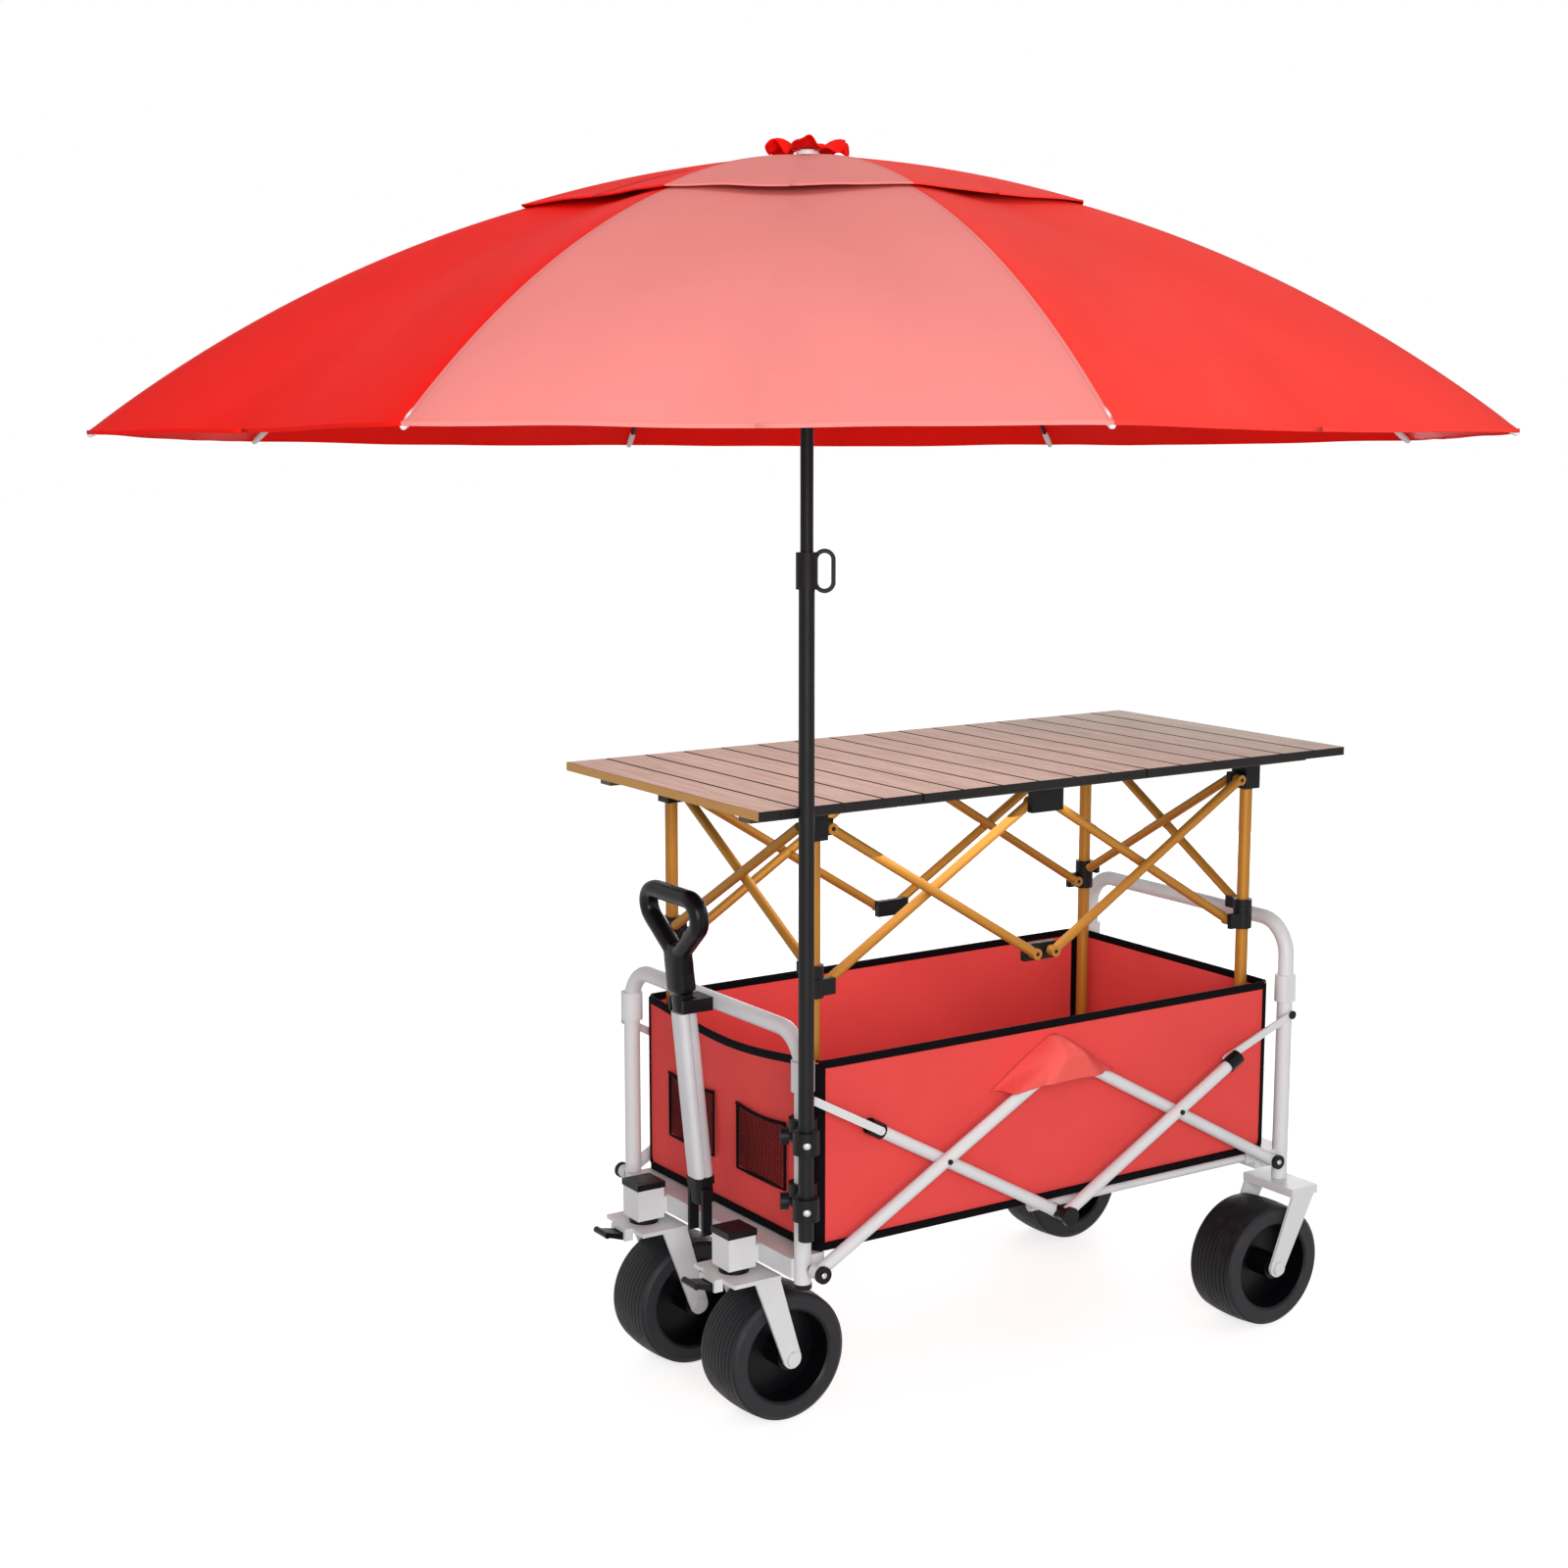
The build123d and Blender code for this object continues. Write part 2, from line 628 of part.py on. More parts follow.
with BuildPart() as stay_rear:
    for side in (-1, 1):
        y = side * rear_stay_y
        stay(rear_stay_x, rear_stay_z, *rear_collar, y, side, side * (outer_plane - collar_radius - gap))
        across(rear_stay_x, y - 10, y + 10, rear_stay_z, link_pin + pin_play, Mode.SUBTRACT)
    stay_rear.part.label = "stay_rear"
export_step(stay_rear.part, "parts/stay_rear.step")

# Rails under the tub floor, hinged on the rear beam
with BuildPart() as floor_rails:
    for side in (-1, 1):
        y = side * rail_y
        tube((rail_pivot_x, y, rail_z), (rail_pivot_x - rail_reach, y, rail_z), rail_radius, tube_wall)
        across(rail_pivot_x, y - rail_eye_half, y + rail_eye_half, rail_z, rail_eye)
        across(rail_pivot_x, y - 15, y + 15, rail_z, link_pin + pin_play, Mode.SUBTRACT)
    floor_rails.part.label = "floor_rails"
export_step(floor_rails.part, "parts/floor_rails.step")

# Swivelling forks, wheels and brake pedals
pedal_x = swivel_x - 40
pedal_z = fork_plate_z - 7
for side, name in ((-1, "left"), (1, "right")):
    y = side * caster_y
    with BuildPart() as fork:
        half = fork_plane + fork_thickness / 2
        block((swivel_x - 34, swivel_x + 46), (y - half, y + half), (fork_plate_z, fork_plate_z + fork_plate))
        block((pedal_x - 6, swivel_x), (y - 21, y + 21), (fork_plate_z, fork_plate_z + fork_plate))
        rod((swivel_x, y, fork_plate_z), (swivel_x, y, socket_top - 8), stem_radius)
        for leg in (-1, 1):
            fork_leg(y + leg * fork_plane, (swivel_x + 2, swivel_x + 44), caster_axle_x, wheel_radius, fork_plate_z + 2)
            across(caster_axle_x, y + leg * half, y + leg * (half + bolt_head), wheel_radius, bolt_head_radius)
            block((pedal_x - 6, pedal_x + 8), (y + leg * 16, y + leg * 21), (pedal_z - 6, fork_plate_z + 1))
        across(caster_axle_x, y - half, y + half, wheel_radius, axle_radius)
        across(pedal_x, y - 17, y + 17, pedal_z, 3)
        fork.part.label = f"caster_fork_{name}"
    export_step(fork.part, f"parts/caster_fork_{name}.step")
    with BuildPart() as pedal:
        across(pedal_x, y - 15, y + 15, pedal_z, 6)
        slab(
            [
                (pedal_x, pedal_z + 4),
                (pedal_x - 34, pedal_z + 11),
                (pedal_x - 37, pedal_z + 5),
                (pedal_x - 6, pedal_z - 5),
            ],
            plane_y(y),
            30,
        )
        across(pedal_x - 34, y - 18, y + 18, pedal_z + 8, 5)
        across(pedal_x, y - 20, y + 20, pedal_z, 3 + pin_play, Mode.SUBTRACT)
        pedal.part.label = f"brake_pedal_{name}"
    export_step(pedal.part, f"parts/brake_pedal_{name}.step")
    with BuildPart() as front_wheel:
        wheel_profile((caster_axle_x, y, wheel_radius))
        front_wheel.part.label = f"wheel_front_{name}"
    export_step(front_wheel.part, f"parts/wheel_front_{name}.step")
    with BuildPart() as rear_wheel:
        wheel_profile((rear_axle_x, side * rear_wheel_y, wheel_radius))
        rear_wheel.part.label = f"wheel_rear_{name}"
    export_step(rear_wheel.part, f"parts/wheel_rear_{name}.step")

# Telescoping pull handle, built along its own lean
inner_wide = handle_wide - 2 * handle_wall - 2 * slide_play
inner_deep = handle_deep - 2 * handle_wall - 2 * slide_play
with BuildPart() as handle_outer:
    with BuildSketch(handle.offset(-10)) as shell:
        RectangleRounded(handle_wide, handle_deep, 6)
    extrude(shell.sketch, amount=handle_length + 10)
    with BuildSketch(handle.offset(inner_start - 12)) as bore:
        RectangleRounded(inner_wide + 2 * slide_play, inner_deep + 2 * slide_play, 4)
    extrude(bore.sketch, amount=handle_length, mode=Mode.SUBTRACT)
    with BuildSketch(handle) as groove:
        for end in (-1, 1):
            with Locations((0, end * handle_deep / 2)):
                Rectangle(7, 2.4)
    extrude(groove.sketch, amount=handle_length, mode=Mode.SUBTRACT)
    across(handle_pivot_x, -30, 30, handle_pivot_z, link_pin + pin_play, Mode.SUBTRACT)
    handle_outer.part.label = "handle_outer"
export_step(handle_outer.part, "parts/handle_outer.step")

with BuildPart() as handle_inner:
    with BuildSketch(handle.offset(inner_start)) as shell:
        RectangleRounded(inner_wide, inner_deep, 4)
    extrude(shell.sketch, amount=handle_length + 20 - inner_start)
    handle_inner.part.label = "handle_inner"
export_step(handle_inner.part, "parts/handle_inner.step")

with BuildPart() as handle_grip:
    with BuildSketch(handle.offset(stem_from)) as stem:
        Ellipse(grip_stem_radius, grip_stem_radius - 3)
    extrude(stem.sketch, amount=grip_stem)
    with BuildSketch(Plane(origin=handle.origin, x_dir=(0, 1, 0), z_dir=-handle.y_dir)) as loop:
        with BuildLine():
            Polyline(
                (-grip_neck_width / 2, loop_from - 12),
                (grip_neck_width / 2, loop_from - 12),
                (grip_width / 2, grip_top - 34),
                (grip_width / 2 - 8, grip_top),
                (-grip_width / 2 + 8, grip_top),
                (-grip_width / 2, grip_top - 34),
                close=True,
            )
        make_face()
        fillet(loop.vertices(), 14)
        offset(amount=-grip_bar, mode=Mode.SUBTRACT)
    extrude(loop.sketch, amount=grip_thickness / 2, both=True)
    with BuildSketch(handle.offset(stem_from - 1)) as bore:
        RectangleRounded(inner_wide + 0.2, inner_deep + 0.2, 4)
    extrude(bore.sketch, amount=20.2, mode=Mode.SUBTRACT)
    handle_grip.part.label = "handle_grip"
export_step(handle_grip.part, "parts/handle_grip.step")


# Table legs in pairs, each pair with its own crossed braces
def leg_pair(x, inward):
    for side in (-1, 1):
        tube((x, side * leg_y, floor_top + gap), (x, side * leg_y, frame_top_z - 3), leg_radius, leg_wall)
    brace_y = leg_y - lug_reach
    step = table_link_radius + side_gap
    for side in (-1, 1):
        at = x + side * step
        tube((at, side * brace_y, upper_pin_z), (at, -side * brace_y, fixed_pin_z), table_link_radius, table_link_wall)
    rod((x - step, 0, (upper_pin_z + fixed_pin_z) / 2), (x + step, 0, (upper_pin_z + fixed_pin_z) / 2), table_pin)


def leg_brackets(x, inward):
    for side in (-1, 1):
        y = side * leg_y
        half = bracket_side / 2
        block((x - half, x + half), (y - half, y + half), (frame_top_z - bracket_height, frame_top_z))
        lug_x = (x, x + inward * (lug_reach + 10))
        block(lug_x, (y, y - side * 10), (upper_pin_z - 12, upper_pin_z + 12))
        pin_y = (y - side * 5, y + side * (1 + 2 * table_link_radius))
        across(x + inward * lug_reach, *pin_y, upper_pin_z, table_pin)
        tongue = (x - side * 7, x + side * (side_gap - gap))
        block(tongue, (y, y - side * (lug_reach + 9)), (upper_pin_z - 11, upper_pin_z + 11))
        rod((x, y, fixed_pin_z - 9), (x, y, fixed_pin_z + 9), slider_radius)
        tongue = (x + side * 7, x - side * (side_gap - gap))
        block(tongue, (y, y - side * (lug_reach + 9)), (fixed_pin_z - 9, fixed_pin_z + 9))
        rod((x, y, fixed_pin_z - 30), (x, y, frame_top_z - 2.8), leg_radius + 0.1, Mode.SUBTRACT)


fixed_pin_z = lower_pin_z + slider_height / 2 + gap + 9 + 1
for x, inward, name in ((-leg_x, 1, "front"), (leg_x, -1, "rear")):
    with BuildPart() as legs:
        leg_pair(x, inward)
        legs.part.label = f"table_{name}_legs"
    export_step(legs.part, f"parts/table_{name}_legs.step")
    with BuildPart() as brackets:
        leg_brackets(x, inward)
        brackets.part.label = f"table_{name}_brackets"
    export_step(brackets.part, f"parts/table_{name}_brackets.step")
    with BuildPart() as slider:
        for side in (-1, 1):
            y = side * leg_y
            low = lower_pin_z - slider_height / 2
            high = lower_pin_z + slider_height / 2
            rod((x, y, low), (x, y, high), slider_radius)
            block((x, x + inward * (lug_reach + 9)), (y + side, y + side * 9), (low + 2, high - 2))
            pin_y = (y + side * 5, y - side * (1 + 2 * table_link_radius))
            across(x + inward * lug_reach, *pin_y, lower_pin_z, table_pin)
            rod((x, y, low - 1), (x, y, high + 1), leg_radius + slide_play, Mode.SUBTRACT)
        slider.part.label = f"table_slider_{name}"
    export_step(slider.part, f"parts/table_slider_{name}.step")

# Table side links: one pair hangs from the leg tops, the other pair rises from the sliders
leg_pin_x = leg_x - lug_reach
outer_link_y = leg_y + table_link_radius + side_gap
inner_link_y = leg_y - table_link_radius - side_gap
half_run = (leg_pin_x + mid_pin_half) / 2
table_cross_z = (upper_pin_z + lower_pin_z) / 2
for end, name in ((-1, "front"), (1, "rear")):
    with BuildPart() as hanging:
        for side in (-1, 1):
            y = side * outer_link_y
            ends = ((end * leg_pin_x, upper_pin_z), (end * mid_pin_half, lower_pin_z))
            tube((ends[0][0], y, ends[0][1]), (ends[1][0], y, ends[1][1]), table_link_radius, table_link_wall)
            for x, z in ends:
                across(x, y - table_eye_half, y + table_eye_half, z, table_eye)
                across(x, y - 12, y + 12, z, table_pin + pin_play, Mode.SUBTRACT)
            across(end * half_run, y, side * (inner_link_y - table_link_radius + 2), table_cross_z, table_pin)
        hanging.part.label = f"table_link_{name}_hanging"
    export_step(hanging.part, f"parts/table_link_{name}_hanging.step")
    with BuildPart() as standing:
        for side in (-1, 1):
            y = side * inner_link_y
            ends = ((end * leg_pin_x, lower_pin_z), (end * mid_pin_half, upper_pin_z))
            tube((ends[0][0], y, ends[0][1]), (ends[1][0], y, ends[1][1]), table_link_radius, table_link_wall)
            for x, z in ends:
                across(x, y - table_eye_half, y + table_eye_half, z, table_eye)
                across(x, y - 12, y + 12, z, table_pin + pin_play, Mode.SUBTRACT)
            across(end * half_run, y - 12, y + 12, table_cross_z, table_pin + pin_play, Mode.SUBTRACT)
        standing.part.label = f"table_link_{name}_standing"
    export_step(standing.part, f"parts/table_link_{name}_standing.step")

# Joint blocks in the middle of the table's long sides
with BuildPart() as table_mid_top:
    for side in (-1, 1):
        y = side * (leg_y + side_gap / 2)
        block((-mid_pin_half - 12, mid_pin_half + 12), (y, y + side * 11), (upper_pin_z - 13, frame_top_z))
        for end in (-1, 1):
            across(end * mid_pin_half, y + side * 5, side * (inner_link_y - table_link_radius), upper_pin_z, table_pin)
    table_mid_top.part.label = "table_mid_top"
export_step(table_mid_top.part, "parts/table_mid_top.step")

with BuildPart() as table_mid_bottom:
    for side in (-1, 1):
        y = side * (leg_y - side_gap / 2)
        block((-mid_pin_half - 12, mid_pin_half + 12), (y, y - side * 11), (lower_pin_z - 13, lower_pin_z + 13))
        for end in (-1, 1):
            across(end * mid_pin_half, y - side * 5, side * (outer_link_y + table_link_radius), lower_pin_z, table_pin)
    table_mid_bottom.part.label = "table_mid_bottom"
export_step(table_mid_bottom.part, "parts/table_mid_bottom.step")

# Slatted top in three panels, hinged to fold up like an accordion
first = 0
for count, name in (
    (slats_front, "front"),
    (slats_middle, "middle"),
    (slat_count - slats_front - slats_middle, "rear"),
):
    start_x = -top_length / 2 + first * slat_pitch
    end_x = start_x + count * slat_pitch
    first += count
    front_cut = rail_setback if name == "front" else slat_gap / 2
    rear_cut = rail_setback if name == "rear" else slat_gap / 2
    with BuildPart() as panel:
        for i in range(count):
            x = start_x + i * slat_pitch
            y_range = (top_y - top_width / 2, top_y + top_width / 2)
            block((x + slat_gap / 2, x + slat_pitch - slat_gap / 2), y_range, (under_slats_z, top_z))
        for side in (-1, 1):
            y = side * leg_y
            y_range = (y - rail_width / 2, y + rail_width / 2)
            block((start_x + front_cut, end_x - rear_cut), y_range, (under_slats_z - rail_height, under_slats_z))
            edge = top_y + side * top_width / 2
            block((start_x + slat_gap / 2, end_x - slat_gap / 2), (edge, edge - side * 4), (under_slats_z, top_z - 1.5))
        panel.part.label = f"top_panel_{name}"
    export_step(panel.part, f"parts/top_panel_{name}.step")

# Umbrella pole in two sliding tubes, with the lock collar and its pull ring
with BuildPart() as lower_pole:
    with BuildSketch(mast.offset(lower_pole_bottom)) as ring:
        Circle(lower_pole_radius)
        Circle(upper_pole_radius + slide_play, mode=Mode.SUBTRACT)
    extrude(ring.sketch, amount=lower_pole_top - lower_pole_bottom)
    with BuildSketch(mast.offset(lower_pole_bottom - 6)) as plug:
        Circle(lower_pole_radius)
    extrude(plug.sketch, amount=8)
    collar_from = lower_pole_top - 8
    with BuildSketch(mast.offset(collar_from)) as ring:
        Circle(pole_collar_radius)
        Circle(upper_pole_radius + slide_play, mode=Mode.SUBTRACT)
    extrude(ring.sketch, amount=pole_collar_height)
    tab_at = collar_from + pole_collar_height / 2
    tab = Plane(
        origin=mast_point(0, pull_azimuth, tab_at),
        x_dir=mast_point(1, pull_azimuth, 0) - mast_point(0, 0, 0),
        z_dir=mast_point(0, pull_azimuth, 0, 1) - mast_point(0, 0, 0),
    )
    with BuildSketch(tab) as strap:
        with Locations((pole_collar_radius - pull_sunk + pull_width / 2, 0)):
            SlotOverall(pull_height, pull_width, rotation=90)
            SlotOverall(pull_height - 2 * pull_band, pull_width - 2 * pull_band, rotation=90, mode=Mode.SUBTRACT)
    extrude(strap.sketch, amount=pull_thickness / 2, both=True)
    rod(mast_point(0, 0, collar_from), mast_point(0, 0, collar_from + 60), upper_pole_radius + slide_play, Mode.SUBTRACT)
    lower_pole.part.label = "lower_pole"
export_step(lower_pole.part, "parts/lower_pole.step")

with BuildPart() as upper_pole:
    tube(mast_point(0, 0, upper_pole_bottom), mast_point(0, 0, crown_s - 12), upper_pole_radius, pole_wall)
    upper_pole.part.label = "upper_pole"
export_step(upper_pole.part, "parts/upper_pole.step")

# Rib arc: chord from the hub pivot to the tip, bowed upwards
chord = hypot(rib_reach - hub_pivot_radius, rib_drop)
chord_angle = atan2(rib_drop, rib_reach - hub_pivot_radius)
arc_radius = chord**2 / (8 * rib_bow) + rib_bow / 2
arc_half = asin(chord / (2 * arc_radius))


def rib_point(reach):
    """Radius and height of the rib arc at a straight distance from the hub pivot."""
    angle = chord_angle - arc_half + asin(reach / (2 * arc_radius))
    return hub_pivot_radius + reach * cos(angle), crown_s - reach * sin(angle)


joint_radius, joint_s = rib_point(stretcher_at)
runner_s = crown_s - 2 * (crown_s - joint_s)

with BuildPart() as crown:
    rod(mast_point(0, 0, crown_s - 12 + 0.1), mast_point(0, 0, crown_s + 8), hub_pivot_radius - rib_radius - 0.5)
    apex_s = rib_point(4)[1] + canopy_rise + vent_rise
    rod(mast_point(0, 0, crown_s + 8), mast_point(0, 0, apex_s + 5), 7)
    rod(mast_point(0, 0, apex_s + canopy_cloth + gap), mast_point(0, 0, apex_s + 6), 15)
    rod(mast_point(0, 0, apex_s + 6), mast_point(0, 0, apex_s + 20), 9)
    crown.part.label = "crown"
export_step(crown.part, "parts/crown.step")

with BuildPart() as runner:
    rod(mast_point(0, 0, runner_s - 26), mast_point(0, 0, runner_s + 10), 14)
    rod(mast_point(0, 0, runner_s - 6), mast_point(0, 0, runner_s + 6), hub_pivot_radius - stretcher_radius - 0.5)
    rod(mast_point(0, 0, runner_s - 30), mast_point(0, 0, runner_s + 20), upper_pole_radius + slide_play, Mode.SUBTRACT)
    runner.part.label = "runner"
export_step(runner.part, "parts/runner.step")

for i in range(rib_count):
    azimuth = i * 360 / rib_count
    with BuildPart() as rib:
        middle = rib_point(chord / 2)
        tip = rib_point(chord)
        with BuildLine() as arc:
            ThreePointArc(
                mast_point(hub_pivot_radius, azimuth, crown_s),
                mast_point(middle[0], azimuth, middle[1]),
                mast_point(tip[0], azimuth, tip[1]),
            )
        with BuildSketch(Plane(origin=arc.line @ 0, z_dir=arc.line % 0)) as section:
            Circle(rib_radius)
        sweep(section.sketch, path=arc.line)
        rib.part.label = f"rib_{i + 1}"
    export_step(rib.part, f"parts/rib_{i + 1}.step")
    with BuildPart() as stretcher:
        low = mast_point(hub_pivot_radius, azimuth, runner_s, stretcher_offset)
        high = mast_point(joint_radius, azimuth, joint_s, stretcher_offset)
        rod(low, high, stretcher_radius)
        rod(high, mast_point(joint_radius, azimuth, joint_s, rib_radius + gap), stretcher_radius)
        rod(low, mast_point(hub_pivot_radius, azimuth, runner_s, 0), stretcher_radius)
        stretcher.part.label = f"stretcher_{i + 1}"
    export_step(stretcher.part, f"parts/stretcher_{i + 1}.step")


# Canopy: an eight-sided sheet over the ribs, with a vent cap above its centre hole
def cloth_dome(from_radius, to_radius, rise, steps):
    outer = []
    inner = []
    for i in range(steps + 1):
        radius = from_radius + (to_radius - from_radius) * i / steps
        low = 1.0
        high = chord
        for _ in range(40):
            middle = (low + high) / 2
            low, high = (middle, high) if rib_point(middle)[0] < radius else (low, middle)
        height = rib_point(low)[1] + rise
        for faces, drop in ((outer, 0), (inner, canopy_cloth)):
            with BuildSketch(mast.offset(height - drop)) as ring:
                RegularPolygon(radius=radius, side_count=rib_count)
            faces.append(ring.sketch)
    loft(outer, ruled=True)
    loft(inner, ruled=True, mode=Mode.SUBTRACT)


with BuildPart() as canopy:
    cloth_dome(canopy_hole, rib_reach, canopy_rise, 12)
    rod(mast_point(0, 0, crown_s - 100), mast_point(0, 0, crown_s + 100), canopy_hole - 14, Mode.SUBTRACT)
    canopy.part.label = "canopy"
with BuildPart() as vent_cap:
    cloth_dome(hub_pivot_radius + 4, vent_radius, canopy_rise + vent_rise, 5)
    rod(mast_point(0, 0, crown_s - 100), mast_point(0, 0, crown_s + 100), 7 + gap, Mode.SUBTRACT)
canopy_cloths = Compound(label="canopy", children=[canopy.part, vent_cap.part])
export_step(canopy_cloths, "parts/canopy.step")

# Two clamps that hold the umbrella pole on the left front post
clamp_run = Vector(mast_x - front_post_x, mast_y + post_y, 0)
with BuildPart() as umbrella_clamps:
    for z in (clamp_lower_z, clamp_upper_z):
        low = z - clamp_height / 2
        high = z + clamp_height / 2
        at = mast_point(0, 0, (z - mast_z) / cos(radians(mast_lean)))
        rod((front_post_x, -post_y, low), (front_post_x, -post_y, high), post_radius + clamp_wall)
        half = mast_dir * (clamp_height / 2)
        rod(at - half, at + half, lower_pole_radius + clamp_wall)
        arm = Plane(origin=(front_post_x, -post_y, z), x_dir=clamp_run, z_dir=(0, 0, 1))
        with BuildSketch(arm) as bar:
            with Locations((clamp_run.length / 2, 0)):
                Rectangle(clamp_run.length, 20)
        extrude(bar.sketch, amount=clamp_height / 2 - 5, both=True)
        side_run = clamp_run.normalized().cross(Vector(0, 0, 1))
        middle = Vector(front_post_x, -post_y, z) + clamp_run * 0.5
        rod(middle, middle + side_run * 26, 5)
        rod(middle + side_run * 22, middle + side_run * 34, 12)
    bore_from = clamp_lower_z - clamp_height
    bore_to = clamp_upper_z + clamp_height
    post_bore = post_radius + clamp_fit
    rod((front_post_x, -post_y, bore_from), (front_post_x, -post_y, bore_to), post_bore, Mode.SUBTRACT)
    pole_bore = lower_pole_radius + clamp_fit
    rod(mast_point(0, 0, bore_from - mast_z), mast_point(0, 0, bore_to - mast_z), pole_bore, Mode.SUBTRACT)
    umbrella_clamps.part.label = "umbrella_clamps"
export_step(umbrella_clamps.part, "parts/umbrella_clamps.step")
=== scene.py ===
# %% [markdown]
# # Dressing a folding vending cart
# The hard parts of this cart come from CAD as nodes that sit in one shared frame, in metres, with
# the floor at z = 0. This script gives them materials and replaces the cloth with real sheets. Each cell
# below does one job, and the text above it says what the job is and why it is done that way. Blender opens
# with a cube, a lamp and a camera, which are removed first.

import json
from math import asin, atan2, copysign, cos, hypot, pi, radians, sin, sqrt

import bmesh
import bpy
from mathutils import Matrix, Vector, noise

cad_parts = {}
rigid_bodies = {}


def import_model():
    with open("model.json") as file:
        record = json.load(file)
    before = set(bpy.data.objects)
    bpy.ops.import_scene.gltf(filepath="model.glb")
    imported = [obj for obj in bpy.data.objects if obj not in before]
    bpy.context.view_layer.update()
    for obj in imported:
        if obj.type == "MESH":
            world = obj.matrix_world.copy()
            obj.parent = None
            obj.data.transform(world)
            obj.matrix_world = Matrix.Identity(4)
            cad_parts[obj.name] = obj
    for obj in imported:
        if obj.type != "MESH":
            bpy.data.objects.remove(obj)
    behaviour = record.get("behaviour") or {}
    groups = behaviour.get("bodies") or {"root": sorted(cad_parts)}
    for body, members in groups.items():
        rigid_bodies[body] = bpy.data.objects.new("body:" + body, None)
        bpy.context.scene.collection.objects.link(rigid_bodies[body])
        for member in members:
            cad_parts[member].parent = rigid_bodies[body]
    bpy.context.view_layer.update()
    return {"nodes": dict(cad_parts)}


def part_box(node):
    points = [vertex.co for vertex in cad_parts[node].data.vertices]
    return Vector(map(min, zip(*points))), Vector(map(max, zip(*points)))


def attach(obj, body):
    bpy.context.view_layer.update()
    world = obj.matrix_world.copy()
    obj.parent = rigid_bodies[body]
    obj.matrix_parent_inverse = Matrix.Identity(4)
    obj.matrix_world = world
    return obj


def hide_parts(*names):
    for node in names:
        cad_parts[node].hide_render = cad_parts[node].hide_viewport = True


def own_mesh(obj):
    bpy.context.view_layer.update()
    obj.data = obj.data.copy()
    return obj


for leftover in list(bpy.data.objects):
    bpy.data.objects.remove(leftover)
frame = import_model()
nodes = frame["nodes"]

# %% [markdown]
# ## The camera
# The camera stands where the photograph was taken from. Its place, its turn and its lens were solved from
# points of known size on the cart, so they are plain numbers here. Blender measures a lens against the
# sensor width, and the photograph is square, so a 36 mm sensor and a 56.7 mm lens give its field of view.

# %% Camera
camera_data = bpy.data.cameras.new("camera")
camera_data.lens = 56.725
camera_data.sensor_width = 36
camera = bpy.data.objects.new("camera", camera_data)
camera.location = (-2.3497, -3.0432, 1.5058)
camera.rotation_euler = (radians(80.832), 0, radians(-33.459))
bpy.context.collection.objects.link(camera)
bpy.context.scene.camera = camera
bpy.context.scene.view_settings.view_transform = "Standard"
print("camera at", tuple(round(v, 2) for v in camera.location))

# %% [markdown]
# ## A shader value that does arithmetic
# Writing shader nodes by hand is long-winded. `Value` wraps one output socket, so `a * 2 + b` or `1 - a`
# adds the Math nodes that compute it.

# %% Shader values
class Value:
    def __init__(self, graph, socket):
        self.graph = graph
        self.socket = socket

    def math(self, operation, first, second=0.0):
        return self.graph.node("ShaderNodeMath", {"operation": operation}, {0: first, 1: second})

    def __add__(self, other):
        return self.math("ADD", self, other)

    __radd__ = __add__

    def __sub__(self, other):
        return self.math("SUBTRACT", self, other)

    def __rsub__(self, other):
        return self.math("SUBTRACT", other, self)

    def __mul__(self, other):
        return self.math("MULTIPLY", self, other)

    __rmul__ = __mul__

    def __truediv__(self, other):
        return self.math("DIVIDE", self, other)

    def __rtruediv__(self, other):
        return self.math("DIVIDE", other, self)

    def __pow__(self, other):
        return self.math("POWER", self, other)

    def __rpow__(self, other):
        return self.math("POWER", other, self)

    def above(self, limit):
        return self.math("GREATER_THAN", self, limit)

    def larger(self, other):
        return self.math("MAXIMUM", self, other)

    def sine(self):
        return self.math("SINE", self)

    def size(self):
        return self.math("ABSOLUTE", self)

    def whole(self):
        return self.math("FLOOR", self)


print("values add, subtract, multiply, divide and raise")

# %% [markdown]
# ## A material in a few lines
# `Graph` holds a node tree, and its `node` method makes any node from a type, its settings and its inputs.
# `Shader` is the graph of one material: `feed` plugs a value into its Principled shader, and the other
# methods make the patterns that the finishes share. A constant goes straight onto a socket.

# %% Shader graphs
class Graph:
    def __init__(self, tree):
        self.tree = tree

    def node(self, kind, settings=None, inputs=None, output=0):
        made = self.tree.nodes.new(kind)
        for key, value in (settings or {}).items():
            setattr(made, key, value)
        for key, value in (inputs or {}).items():
            if isinstance(value, Value):
                self.tree.links.new(value.socket, made.inputs[key])
            else:
                made.inputs[key].default_value = value
        return Value(self, made.outputs[output])

    def shown_rays(self):
        """1 for rays from the camera and for those that a shiny or clear surface sends on."""
        kinds = ("Camera", "Glossy", "Transmission")
        rays = [self.node("ShaderNodeLightPath", output=f"Is {kind} Ray") for kind in kinds]
        return rays[0].larger(rays[1]).larger(rays[2])


